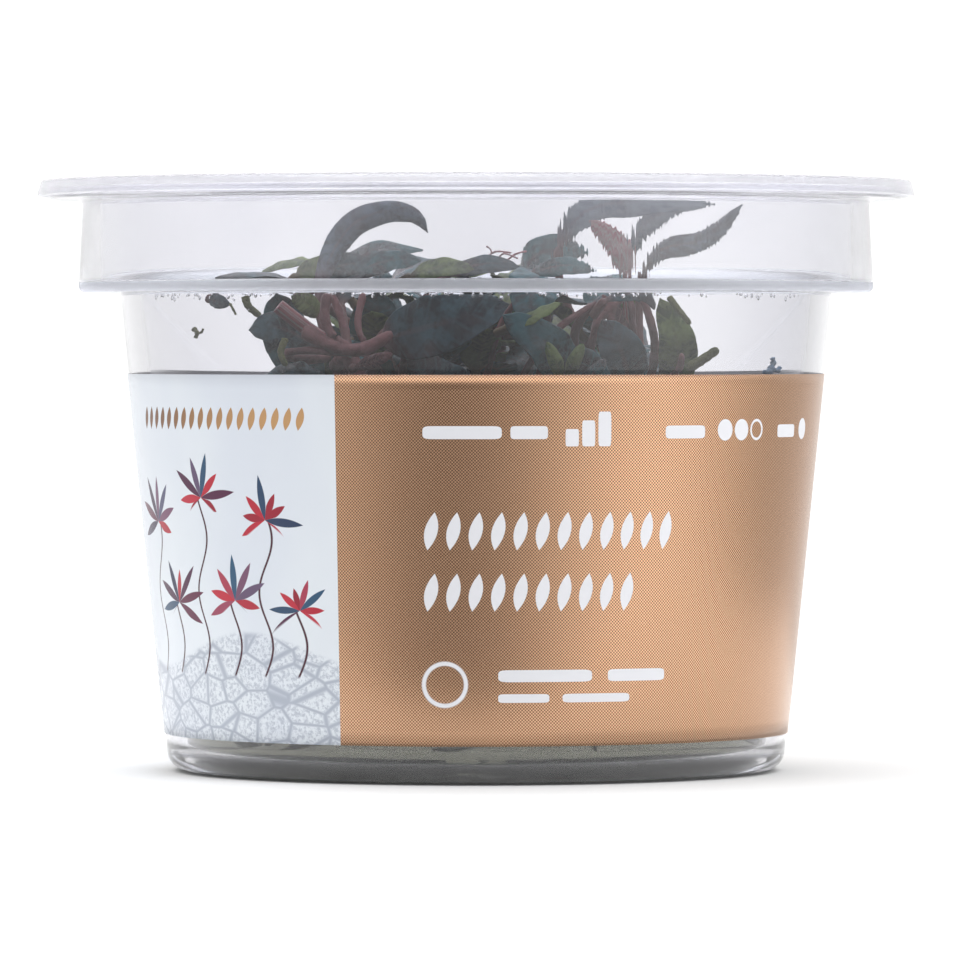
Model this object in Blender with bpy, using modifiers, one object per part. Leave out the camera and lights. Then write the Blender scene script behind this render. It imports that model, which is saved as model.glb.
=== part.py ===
"""Bucephalandra plantlets on gel in a clear round cup with a lid and a wrap-round label.

Lengths in the constants are millimetres. The origin is the middle of the cup's foot,
+Z is up, and -Y is the side from which the printed label is read.
"""

import math
import random

import bmesh
import bpy
from mathutils import Vector
from mathutils.bvhtree import BVHTree

MM = 0.001
GAP = 0.3
TURN_STEPS = 40

# The cup: a tapered body, a ledge, and a wider band with a rim that carries the lid
FOOT_RADIUS = 34.9
FOOT_HOLLOW_RADIUS = 31.5
FOOT_HOLLOW = 0.5
BODY_FOOT_RADIUS = 37.16
BODY_FOOT_HEIGHT = 2.44
BODY_TAPER = 0.1016
WALL = 2.4
FLOOR_TOP = 1.5
LEDGE_UNDER = 57.1
LEDGE_TOP = 58.8
BAND_TOP_RADIUS = 47.2
BAND_FOOT_RADIUS = 47.74
BAND_INNER_RADIUS = 45.1
RIM_TOP = 69.2
RIM_RADIUS = 51.2

# The lid: a flat plate with a flared lip outside the rim and a plug ring inside the band
LID_TOP = 70.6
LID_PLATE = 1.1
LID_RADIUS = 52.2
LIP_RADIUS = 52.7
LIP_FOOT = 68.7
PLUG_FOOT = 68.3
PLUG_WALL = 1.2

# The label: a thin printed strip round the body, its ends a little apart at the back
LABEL_FOOT = 4.41
LABEL_TOP = 47.47
LABEL_THICK = 0.15
LABEL_OPENING_DEG = 9.0

# The gel that fills the foot of the cup
GEL_TOP = 13.0

# Leaves are lofted from a round stalk to a flat blade, with this many sections and sides
SECTIONS = 8
SIDES = 6
FACE_SHARE = 0.7
STALK_RADIUS = 0.55
BLADE_THICK = 0.7
SLIDE_STEP = 0.4
SLIDES = 40
FILLER_COUNT = 18
TANGLE_TOP = 60.6
TANGLE_RADIUS = 27.5
TALL_FILLERS = 13
TALL_REACH = 54.0
FILLER_TRIES = 900
FILLER_SEED = 5200

# Rhizomes: radius, then the points from the gel up to the crown
RHIZOMES = (
    (1.5, ((-21, -5, 14.1), (-20, -11, 24), (-17, -16, 37), (-15.4, -19.4, 49.4))),
    (1.4, ((-4, 9, 14.1), (-5, 8, 25), (-7, 5, 36), (-8, 2, 46))),
    (1.4, ((4, -8, 14.1), (5, -12, 23), (7, -14, 33), (6.5, -14, 42))),
    (1.5, ((22, -3, 14.1), (21, -8, 24), (19, -11, 34), (18, -11, 44))),
    (1.3, ((9, 20, 14.1), (11, 19, 24), (13, 16, 35), (14, 13, 45))),
    (1.3, ((-17, 20, 14.1), (-16, 20, 22), (-14, 18, 32), (-13, 16, 40))),
)

# Roots and dry twigs: radius, then the points
ROOTS = (
    (0.45, ((-21.8, -28.2, 51.8), (-22.3, -28.7, 50.2), (-21.7, -29.2, 48.6))),
    (0.40, ((22.3, -23, 56.7), (23.4, -23.4, 55.2), (24.7, -24, 53.5))),
    (0.65, ((24.4, -23, 48.3), (26.0, -23.6, 49.3), (27.8, -24, 50.6))),
    (0.50, ((-26.8, -19, 56.8), (-26.4, -19.2, 55.6), (-25.0, -19.4, 54.4))),
    (0.55, ((-24, -6, 14.2), (-28, -8, 14.0), (-30.5, -13, 14.0), (-28.5, -18, 14.0))),
    (0.55, ((6, -11.5, 14.2), (9, -19, 14.0), (4, -27, 14.0), (-6, -32, 14.0))),
    (0.55, ((25, -3, 14.2), (30, 1, 14.0), (33, 8, 14.0), (29, 17, 14.0))),
    (0.55, ((-6, 12, 14.2), (-7, 20, 14.0), (-2, 28, 14.0), (6, 32, 14.0))),
)

# Leaves that are seen from the front: finish, width, length of stalk as a share, blade
# thickness, way the upper side faces, then the points of the midrib from foot to tip
FRONT_LEAVES = (
    ("leaf_dark", 3.1, 0.26, 2.0, (0, -1, 0.2), (
        (-16.6, -21.8, 50.8), (-17.6, -22, 52.6), (-18.3, -19, 56.6), (-17.0, -16, 61.0),
        (-14.5, -14, 64.4), (-10.8, -13, 65.9), (-7.4, -12.5, 65.5), (-5.6, -12.5, 63.4))),
    ("leaf_dark", 4.6, 0.15, 0.7, (0, -1, 0.25), (
        (-17.2, -21.4, 49.6), (-19.8, -23, 51.6), (-23, -24, 53.1), (-26.2, -23, 52.8))),
    ("stalk_red", 1.7, 1.0, 1.2, (0, -1, 0.5), (
        (-14.4, -24.4, 50.0), (-18.5, -26.4, 52.3), (-22.7, -27, 55.6))),
    ("leaf_teal", 4.4, 0.40, 0.7, (0.1, -0.4, 1), (
        (-14.9, -21.5, 50.9), (-15.4, -20, 53.5), (-15.6, -17, 57.2), (-12.2, -13, 61.2),
        (-6.2, -10.5, 61.4))),
    ("leaf_dark", 7.2, 0.22, 0.8, (0, -1, 0.2), (
        (-13.2, -21.6, 50.4), (-9.4, -25, 52.0), (-4, -28.4, 53.5), (3.9, -29.5, 55.8))),
    ("leaf_dark", 4.0, 0.15, 0.7, (0, -0.8, 0.6), (
        (-15.4, -22.6, 44.4), (-18.2, -26, 46.8), (-21.8, -27, 47.4), (-25.6, -25, 46.2))),
    ("leaf_teal", 6.4, 0.35, 0.7, (0, -1, 0), (
        (-9.6, -0.5, 47.5), (-11, -8, 50.5), (-11.8, -13, 53.4), (-11.4, -13.5, 57.4))),
    ("leaf_dark", 3.6, 0.45, 0.7, (0.1, -0.15, 1), (
        (-10, 1.6, 48.5), (-17, -3, 55), (-24, -8, 58.2), (-30.9, -10, 58.2))),
    ("leaf_olive", 3.2, 0.40, 0.7, (0, -0.3, 1), (
        (-10, 4, 47.5), (-15, 1, 56.4), (-20, -2, 59.8), (-25.6, -4, 58.8))),
    ("leaf_teal", 6.0, 0.25, 0.7, (0.2, -1, 0), (
        (-17.6, -12.5, 36), (-19.5, -12, 46), (-22.4, -13, 52.6), (-23.4, -15, 57.2))),
    ("leaf_teal", 6.0, 0.35, 0.7, (0, -0.4, 0.9), (
        (-8, 4, 48), (-11, 0, 53.6), (-9.0, -4, 58.4), (-3.6, -5, 60.0))),
    ("leaf_olive", 5.5, 0.35, 0.7, (0, -0.5, 1), (
        (-6, 2.6, 47.6), (-5.4, 0, 54.0), (-2.2, -4, 58.6), (4.0, -6, 59.2))),
    ("leaf_teal", 6.0, 0.45, 0.7, (0, -1, 0.2), (
        (6.9, -12.0, 43.2), (8.3, -12, 53), (7.6, -16, 58.0), (6.6, -20.5, 57), (6.0, -22.5, 53.2))),
    ("leaf_teal", 5.6, 0.20, 0.7, (0, -1, 0.3), (
        (8.4, -15.2, 43.0), (10.4, -19.4, 47.0), (8.2, -22.8, 51.0), (3.0, -24, 54.6))),
    ("leaf_dark", 5.6, 0.20, 0.7, (0, -1, 0), (
        (17.0, -13.2, 44.4), (17.6, -18, 47.0), (16.8, -21, 50.4), (14.6, -21.5, 54.0))),
    ("leaf_dark", 2.4, 0.50, 0.7, (0, -0.5, 1), (
        (15.8, -11.6, 44.6), (11.6, -15, 51), (13.5, -17, 55.6), (17.6, -16, 56.9),
        (20.8, -15, 55.8))),
    ("leaf_olive", 4.6, 0.20, 0.7, (0, -1, 0), (
        (20.0, -12.6, 44.6), (23.0, -16, 47), (23.4, -19, 51.5), (21.4, -19, 56.6))),
    ("leaf_dark", 4.2, 0.38, 0.7, (0.1, -0.8, 0.6), (
        (16.6, -8.4, 45), (10.5, -8, 56.4), (10.0, -9, 62.0), (13.8, -9.4, 66.2),
        (20.6, -9.2, 67.0), (28.4, -8.6, 66.9))),
    ("leaf_dark", 3.0, 0.35, 0.9, (0, -0.9, 0.6), (
        (19.8, -8.8, 45.6), (19.4, -7, 56), (21.6, -10, 61.0), (27.2, -12, 62.8), (31.4, -12.5, 67.0))),
    ("stalk_red", 3.0, 0.40, 0.8, (0, -1, 0), (
        (18.4, -8.6, 46.6), (17.8, -12, 56.6), (17.0, -13.4, 61.4), (13.4, -13.4, 65.0))),
    ("leaf_teal", 3.0, 0.45, 0.9, (0, -0.7, 0.7), (
        (15.6, 10.8, 46.6), (18.0, 4, 57.6), (20.2, 1, 63.8), (26.5, 0, 67.6))),
    ("leaf_teal", 5.2, 0.40, 0.7, (0, -0.8, 0.6), (
        (13.0, 10.6, 46.4), (6.0, 1, 54.6), (7.4, -3, 60.6), (13.4, -4, 61.0))),
    ("leaf_dark", 6.0, 0.20, 0.7, (0, -1, 0.3), (
        (4.8, -15.6, 41), (0, -22, 43.4), (-4, -26, 46.5), (-8, -28, 50.2))),
    ("leaf_teal", 5.0, 0.20, 0.7, (0, -1, 0.2), (
        (8.2, -14.6, 40), (11, -19, 43), (13.5, -22, 46.5), (12.2, -23, 51.0))),
)

FINISHES = {
    "clear_plastic": ((0.90, 0.90, 0.93), 0.05, 0.95),
    "lid_plastic": ((0.90, 0.90, 0.93), 0.12, 0.92),
    "label_print": ((0.55, 0.35, 0.24), 0.45, 0.0),
    "gel": ((0.74, 0.76, 0.66), 0.15, 0.80),
    "rhizome": ((0.24, 0.13, 0.10), 0.60, 0.0),
    "root": ((0.38, 0.42, 0.20), 0.60, 0.0),
    "leaf_dark": ((0.07, 0.09, 0.09), 0.45, 0.0),
    "leaf_teal": ((0.06, 0.10, 0.11), 0.42, 0.0),
    "leaf_olive": ((0.14, 0.18, 0.09), 0.50, 0.0),
    "stalk_red": ((0.48, 0.20, 0.21), 0.50, 0.0),
}


def clear_scene():
    for thing in list(bpy.data.objects):
        bpy.data.objects.remove(thing)


def make_material(name):
    colour, roughness, transmission = FINISHES[name]
    finish = bpy.data.materials.new(name)
    finish.use_nodes = True
    shader = finish.node_tree.nodes["Principled BSDF"]
    shader.inputs["Base Color"].default_value = (*colour, 1.0)
    shader.inputs["Roughness"].default_value = roughness
    shader.inputs["Metallic"].default_value = 0.0
    shader.inputs["Transmission Weight"].default_value = transmission
    return finish


def add_object(name, data, finish):
    piece = bpy.data.objects.new(name, data)
    data.materials.append(finish)
    collection.objects.link(piece)
    return piece


def body_radius(height):
    return BODY_FOOT_RADIUS + (height - BODY_FOOT_HEIGHT) * BODY_TAPER


def inner_radius(height):
    if height > LEDGE_TOP:
        return BAND_INNER_RADIUS
    return body_radius(height) - WALL


def turned(name, profile, finish, degrees=360.0):
    """A profile of (radius, height), running down its outer side, turned about Z."""
    mesh = bpy.data.meshes.new(name)
    points = [(radius * MM, 0, height * MM) for radius, height in profile]
    mesh.from_pydata(points, [(i, i + 1) for i in range(len(points) - 1)], [])
    piece = add_object(name, mesh, finish)
    screw = piece.modifiers.new("turn", "SCREW")
    screw.angle = math.radians(degrees)
    screw.steps = TURN_STEPS
    screw.render_steps = TURN_STEPS
    screw.use_merge_vertices = True
    screw.merge_threshold = 0.00001
    screw.use_smooth_shade = True
    return piece


def make_cup(finish):
    profile = (
        (0, FLOOR_TOP), (31.6, FLOOR_TOP), (34.0, 2.4), (inner_radius(6.0), 6.0),
        (inner_radius(57.6), 57.6), (41.3, LEDGE_TOP), (44.3, LEDGE_TOP + 0.1),
        (BAND_INNER_RADIUS, 59.8), (BAND_INNER_RADIUS, RIM_TOP),
        (RIM_RADIUS - 0.2, RIM_TOP), (RIM_RADIUS, RIM_TOP - 0.3), (RIM_RADIUS, RIM_TOP - 0.8),
        (BAND_TOP_RADIUS + 0.4, RIM_TOP - 0.9), (BAND_TOP_RADIUS, RIM_TOP - 1.4),
        (BAND_FOOT_RADIUS, 59.0), (47.5, 58.0), (46.9, 57.4), (46.0, LEDGE_UNDER),
        (43.3, LEDGE_UNDER), (body_radius(56.5), 56.5),
        (BODY_FOOT_RADIUS, BODY_FOOT_HEIGHT), (36.7, 1.0), (35.9, 0.3), (FOOT_RADIUS, 0),
        (FOOT_HOLLOW_RADIUS, 0), (FOOT_HOLLOW_RADIUS - 0.8, FOOT_HOLLOW), (0, FOOT_HOLLOW),
    )
    return turned("cup", profile, finish)


def make_lid(finish):
    under = LID_TOP - LID_PLATE
    plug = BAND_INNER_RADIUS - GAP
    profile = (
        (0, LID_TOP), (LID_RADIUS - 0.3, LID_TOP), (LID_RADIUS, LID_TOP - 0.3),
        (LIP_RADIUS, LIP_FOOT + 0.2), (LIP_RADIUS - 0.2, LIP_FOOT), (RIM_RADIUS + 0.6, LIP_FOOT),
        (RIM_RADIUS + 0.4, under), (plug, under), (plug - 0.1, PLUG_FOOT),
        (plug - PLUG_WALL, PLUG_FOOT), (plug - PLUG_WALL - 0.1, under), (0, under),
    )
    return turned("lid", profile, finish)


def make_label(finish):
    profile = ((body_radius(LABEL_TOP) + GAP, LABEL_TOP), (body_radius(LABEL_FOOT) + GAP, LABEL_FOOT))
    strip = turned("label", profile, finish, 360.0 - LABEL_OPENING_DEG)
    strip.rotation_euler.z = math.radians(90.0 + LABEL_OPENING_DEG / 2)
    skin = strip.modifiers.new("paper", "SOLIDIFY")
    skin.thickness = LABEL_THICK * MM
    skin.offset = 1.0
    return strip


def make_gel(finish):
    foot = FLOOR_TOP + GAP
    profile = (
        (0, GEL_TOP), (inner_radius(GEL_TOP) - GAP, GEL_TOP), (inner_radius(6.2) - GAP, 6.2),
        (33.6, foot + 0.95), (31.4, foot), (0, foot),
    )
    return turned("gel", profile, finish)


def make_strand(name, radius, points, finish):
    """A round strand with closed ends, a little thinner towards its tip."""
    curve = bpy.data.curves.new(name, "CURVE")
    curve.dimensions = "3D"
    curve.bevel_depth = radius * MM
    curve.bevel_resolution = 1
    curve.use_fill_caps = True
    spline = curve.splines.new("POLY")
    steps = 2 * (len(points) - 1)
    spline.points.add(steps)
    for i in range(steps + 1):
        place = along([Vector(point) for point in points], i / steps)
        spline.points[i].co = (*(place * MM), 1.0)
        spline.points[i].radius = 1.0 - 0.25 * i / steps
    return add_object(name, curve, finish)


def along(points, share):
    """The point at a share of the way on a smooth curve through the points."""
    span = share * (len(points) - 1)
    i = min(int(span), len(points) - 2)
    u = span - i
    before, start, end, after = (
        points[max(i - 1, 0)], points[i], points[i + 1], points[min(i + 2, len(points) - 1)])
    bend = (2 * before - 5 * start + 4 * end - after) * u * u
    twist = (3 * start - before - 3 * end + after) * u ** 3
    return 0.5 * (2 * start + (end - before) * u + bend + twist)


def blade_share(share):
    """Width of a blade, from its foot at 0 to its tip at 1."""
    return math.sin(math.pi * min(share, 1.0) ** 0.85) ** 0.7


def leaf_frames(plan, shares):
    """For each share of a leaf: its midrib's place, its sideways and its upward way.

    The upper side faces as the plan says at FACE_SHARE, and turns as little as it can
    from there to the foot and to the tip.
    """
    face = Vector(plan[3])
    spine = [Vector(point) for point in plan[4]]
    places = [along(spine, share) for share in shares]
    ways = [(along(spine, share + 0.03) - along(spine, share)).normalized() for share in shares]
    middle = min(range(len(shares)), key=lambda i: abs(shares[i] - FACE_SHARE))
    ups = {middle: (face - ways[middle] * face.dot(ways[middle])).normalized()}
    for i in [*range(middle + 1, len(shares)), *range(middle - 1, -1, -1)]:
        last = ups[i - 1] if i > middle else ups[i + 1]
        ups[i] = (last - ways[i] * last.dot(ways[i])).normalized()
    return [(places[i], ways[i].cross(ups[i]), ups[i]) for i in range(len(shares))]


def leaf_sections(plan, grow=0.0):
    """Rings of points for a leaf. grow makes it thicker all round, to test for room."""
    width, stalk, thick = plan[:3]
    shares = [0.97 * i / SECTIONS for i in range(SECTIONS + 1)]
    rings = []
    for share, (here, side, up) in zip(shares, leaf_frames(plan, shares)):
        reach = STALK_RADIUS + (0.3 if stalk == 1.0 else 0.0)
        half = reach
        if share > stalk:
            blade = blade_share((share - stalk) / (1.0 - stalk))
            reach = max(width / 2 * blade, 0.35)
            half = max(thick / 2, 0.3) * (0.45 + 0.55 * blade)
        reach += grow
        half += grow
        dish = 0.12 * max(reach - 1.0, 0.0)
        ring = []
        for across, lift, camber in (
                (1, 0, 1), (0.5, 0.87, 0.25), (-0.5, 0.87, 0.25),
                (-1, 0, 1), (-0.5, -0.87, 0.25), (0.5, -0.87, 0.25)):
            ring.append(here + side * (across * reach) + up * (lift * half + camber * dish))
        rings.append(ring)
    return rings


def ring_mesh(rings):
    """Points and faces of a loft through the rings, closed at both ends."""
    points = [point for ring in rings for point in ring]
    faces = [tuple(reversed(range(SIDES)))]
    for i in range(len(rings) - 1):
        for j in range(SIDES):
            k = (j + 1) % SIDES
            a, b = i * SIDES + j, i * SIDES + k
            faces.append((a, b, b + SIDES))
            faces.append((a, b + SIDES, a + SIDES))
    faces.append(tuple(range(len(points) - SIDES, len(points))))
    return points, faces


def tree_of(rings):
    return BVHTree.FromPolygons(*ring_mesh(rings))


def has_room(plan, placed):
    """True where the leaf keeps its distance from the cup, the gel, the lid and the rest."""
    rings = leaf_sections(plan, GAP)
    for ring in rings:
        for point in ring:
            if point.z < GEL_TOP + GAP or point.z > LID_TOP - LID_PLATE - GAP:
                return False
            wall = inner_radius(point.z)
            if point.z > PLUG_FOOT - 2 * GAP:
                wall -= PLUG_WALL + 2 * GAP
            if abs(point.z - LEDGE_TOP) < 1.5:
                wall = inner_radius(LEDGE_UNDER)
            if math.hypot(point.x, point.y) > wall - GAP:
                return False
    tree = tree_of(rings)
    return not any(tree.overlap(other) for other in placed)


def front_leaf_plan(number, placed):
    """A leaf that is seen, moved back or forward until it clears those already there."""
    finish, width, stalk, thick, face, spine = FRONT_LEAVES[number]
    for i in range(SLIDES):
        slide = SLIDE_STEP * ((i + 1) // 2) * (-1) ** i
        moved = [(x, y + slide, z) for x, y, z in spine]
        plan = (width, stalk, thick, face, moved)
        if has_room(plan, placed):
            return finish, plan
    raise ValueError(f"no room for front leaf {number + 1}")


def filler_try(number, attempt):
    """One leaf that could grow on a rhizome: it arches up, out and over."""
    draw = random.Random(FILLER_SEED + 1000 * number + attempt)
    radius, points = RHIZOMES[number % len(RHIZOMES)]
    stem = along([Vector(point) for point in points], draw.uniform(0.45, 1.0))
    heading = draw.uniform(0, 2 * math.pi)
    out = Vector((math.cos(heading), math.sin(heading), 0))
    length = draw.uniform(19, 27)
    lean = draw.uniform(0.3, 0.75)
    droop = draw.uniform(-0.3, 0.25)
    foot = stem + out * (radius + STALK_RADIUS + 2.2 * GAP)
    middle = foot + (out * lean + Vector((0, 0, 1.1 - lean))) * length * 0.45
    tip = middle + (out * (lean + 0.2) + Vector((0, 0, 0.55 - droop - lean * 0.5))) * length * 0.6
    bend = (foot + middle) / 2 + Vector((0, 0, length * 0.07))
    width = draw.uniform(4.5, 7.5)
    stalk = draw.uniform(0.2, 0.4)
    face = Vector((0, 0, 1)) - out * 0.3
    finish = draw.choice(("leaf_dark", "leaf_teal", "leaf_teal", "leaf_olive"))
    return finish, (width, stalk, BLADE_THICK, face, [foot, bend, middle, tip])


def in_tangle(plan):
    """True where the leaf stays in the middle of the cup and under the tallest leaves."""
    return all(
        point.z < TANGLE_TOP and math.hypot(point.x, point.y) < TANGLE_RADIUS
        for ring in leaf_sections(plan) for point in ring)


def filler_plan(number, placed):
    for attempt in range(FILLER_TRIES):
        finish, plan = filler_try(number, attempt)
        tall = number >= TALL_FILLERS or plan[4][-1].z > TALL_REACH
        if tall and in_tangle(plan) and has_room(plan, placed):
            return finish, plan
    raise ValueError(f"no room for filler leaf {number + 1}")


def make_leaf(name, plan, finish):
    points, faces = ring_mesh(leaf_sections(plan))
    mesh = bpy.data.meshes.new(name)
    mesh.from_pydata([point * MM for point in points], [], faces)
    fix = bmesh.new()
    fix.from_mesh(mesh)
    bmesh.ops.recalc_face_normals(fix, faces=fix.faces)
    fix.to_mesh(mesh)
    fix.free()
    mesh.shade_smooth()
    return add_object(name, mesh, finish)


def tree_of_strand(strand):
    graph = bpy.context.evaluated_depsgraph_get()
    mesh = bpy.data.meshes.new_from_object(strand.evaluated_get(graph))
    points = [vertex.co / MM for vertex in mesh.vertices]
    tree = BVHTree.FromPolygons(points, [tuple(face.vertices) for face in mesh.polygons])
    bpy.data.meshes.remove(mesh)
    return tree


def make_plants(finishes):
    strands = []
    for number, (radius, points) in enumerate(RHIZOMES):
        strands.append(make_strand(f"rhizome_{number + 1}", radius, points, finishes["rhizome"]))
    for number, (radius, points) in enumerate(ROOTS):
        strands.append(make_strand(f"root_{number + 1}", radius, points, finishes["root"]))
    placed = [tree_of_strand(strand) for strand in strands]
    for number in range(len(FRONT_LEAVES) + FILLER_COUNT):
        if number < len(FRONT_LEAVES):
            finish, plan = front_leaf_plan(number, placed)
        else:
            finish, plan = filler_plan(number - len(FRONT_LEAVES), placed)
        placed.append(tree_of(leaf_sections(plan)))
        make_leaf(f"leaf_{number + 1:02d}", plan, finishes[finish])


clear_scene()
collection = bpy.data.collections.new("bucephalandra_cup")
bpy.context.scene.collection.children.link(collection)
finishes = {name: make_material(name) for name in FINISHES}
make_cup(finishes["clear_plastic"])
make_lid(finishes["lid_plastic"])
make_label(finishes["label_print"])
make_gel(finishes["gel"])
make_plants(finishes)
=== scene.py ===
import math
import random

import bpy
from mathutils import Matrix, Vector, noise


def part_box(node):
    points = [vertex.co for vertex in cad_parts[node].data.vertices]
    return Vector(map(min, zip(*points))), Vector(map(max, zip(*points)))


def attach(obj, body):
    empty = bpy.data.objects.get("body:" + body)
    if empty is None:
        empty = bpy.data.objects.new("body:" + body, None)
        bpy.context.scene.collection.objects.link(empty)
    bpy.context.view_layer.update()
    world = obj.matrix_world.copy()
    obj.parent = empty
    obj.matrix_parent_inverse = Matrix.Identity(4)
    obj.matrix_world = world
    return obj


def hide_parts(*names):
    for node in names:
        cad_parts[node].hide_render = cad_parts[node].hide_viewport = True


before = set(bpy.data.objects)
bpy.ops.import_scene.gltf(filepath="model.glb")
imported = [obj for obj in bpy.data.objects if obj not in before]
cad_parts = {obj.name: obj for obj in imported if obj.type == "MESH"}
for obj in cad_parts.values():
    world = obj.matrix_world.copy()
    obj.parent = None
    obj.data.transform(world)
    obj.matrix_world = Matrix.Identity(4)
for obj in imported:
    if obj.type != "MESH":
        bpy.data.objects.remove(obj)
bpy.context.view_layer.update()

MM = 0.001

# The photograph: image size, the row of the eye's height, the column of the cup's axis,
# the focal length in pixels, and the real size of a pixel at the cup's axis
IMAGE_WIDTH = 959
IMAGE_HEIGHT = 960
EYE_ROW = 345
AXIS_COLUMN = 476
FOCAL_PIXELS = 8164
PIXEL = 0.12025
EYE_HEIGHT = 50.9
SENSOR = 36.0

# The cup, the lid, the label and the gel, in millimetres, as the CAD has them
TURN_STEPS = 192
ARC_STEPS = 6
FOOT_RADIUS = 34.9
FOOT_HOLLOW_RADIUS = 31.5
FOOT_HOLLOW = 0.5
BODY_FOOT_RADIUS = 37.16
BODY_FOOT_HEIGHT = 2.44
BODY_TAPER = 0.1016
WALL = 2.4
FLOOR_TOP = 1.5
LEDGE_UNDER = 57.2
LEDGE_TOP = 58.4
BAND_TOP_RADIUS = 47.2
BAND_FOOT_RADIUS = 47.76
BAND_INNER_RADIUS = 45.1
RIM_TOP = 69.2
RIM_RADIUS = 51.2
LID_TOP = 70.6
LID_UNDER = 69.5
LID_RADIUS = 52.2
LIP_RADIUS = 52.7
LIP_FOOT = 68.7
PLUG_FOOT = 68.3
PLUG_WALL = 1.2
GAP = 0.3
LABEL_FOOT = 4.41
LABEL_TOP = 47.47
LABEL_PROUD = 0.06
LABEL_FILM = 0.08
LABEL_RISES = 24
LABEL_OPENING_DEG = 9.0
GEL_TOP = 13.0

# The studio's brightness round the cup: degrees from the camera to the right, brightness, tint
LIGHT_STRENGTH = 2.0
LIGHT_ROUND = (
    (-180, 0.60, 1.0), (-158, 0.50, 1.0), (-125, 0.40, 1.0), (-90, 0.40, 1.0), (-50, 0.46, 1.0),
    (-22, 0.09, 1.05), (5, 0.11, 1.05), (28, 0.42, 1.0), (55, 0.80, 1.0), (75, 0.72, 1.0),
    (100, 0.40, 1.0), (125, 0.28, 1.0), (158, 0.50, 1.0), (180, 0.60, 1.0))

# The label's print, in millimetres round the cup from the front and up: the panels' edges,
# the dot screen, the marks, the holes in marks, the rows of leaf marks, the drawn fans
PANEL_EDGE = -16.2
PANEL_SLANT = 0.0137
PANEL_END = -92.0
SCREEN = 16.6
COPPER_DARK = (0.25, 0.12, 0.060, 1.0)
COPPER_LIGHT = (0.80, 0.51, 0.33, 1.0)
PRINT_MARKS = (
    ("bar", -1.6, 40.8, 4.6, 0.75), ("bar", 6.2, 40.8, 2.2, 0.75),
    ("bar", 11.3, 40.2, 0.8, 1.0), ("bar", 13.3, 40.7, 0.8, 1.5), ("bar", 15.3, 41.2, 0.8, 2.0),
    ("bar", 26.2, 40.8, 2.9, 0.75), ("oval", 32.4, 41.0, 1.25, 1.25), ("oval", 35.3, 41.0, 1.25, 1.25),
    ("oval", 38.2, 41.0, 1.25, 1.25), ("bar", 45.2, 40.8, 2.3, 0.75), ("oval", 50.2, 41.0, 1.25, 1.25),
    ("oval", -3.6, 11.6, 2.7, 2.7), ("bar", 8.2, 12.6, 5.6, 0.7), ("bar", 19.6, 12.6, 3.8, 0.7),
    ("bar", 5.6, 10.0, 3.0, 0.5), ("bar", 14.4, 10.0, 4.2, 0.5),
)
PRINT_HOLES = (("oval", 38.2, 41.0, 0.95, 0.95), ("oval", -3.6, 11.6, 2.2, 2.2))
PRINT_ROWS = (
    (-6.5, 24.7, 2.6, 29.4, 0.78, 2.2), (-6.5, 19.5, 2.6, 22.3, 0.78, 2.2),
    (-52.0, -20.5, 1.75, 42.3, 0.52, 1.35),
)
PANEL_FANS = (
    (-49.0, 30.0, 6.6, 0.3), (-37.5, 33.0, 6.2, 0.1), (-26.5, 30.5, 6.0, 0.5),
    (-43.5, 20.5, 6.0, 0.2), (-31.5, 21.0, 6.4, 0.4), (-21.6, 20.0, 5.0, 0.0))

# Leaf lofts: the plain solid's sections and sides, and the fine leaf's
SECTIONS = 8
SIDES = 6
FINE_SECTIONS = 46
FINE_SIDES = 20
FACE_SHARE = 0.7
STALK_RADIUS = 0.55
BLADE_THICK = 0.7
FILLER_COUNT = 18
FILLER_TRIES = 900
FILLER_SEED = 5200
SAME_PLACE = 0.02
SMALL_COUNT = 90
PALE_LEAVES = {0: "leaf_pale", 17: "leaf_palest", 18: "leaf_pale", 20: "leaf_palest"}
DRIFT_TONE = (0.085, 0.038, 0.042, 1.0)
SMALL_TOP = 60.0
SMALL_RADIUS = 28.0
GEL_ROOTS = 46
DROP_COUNT = 130

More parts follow.
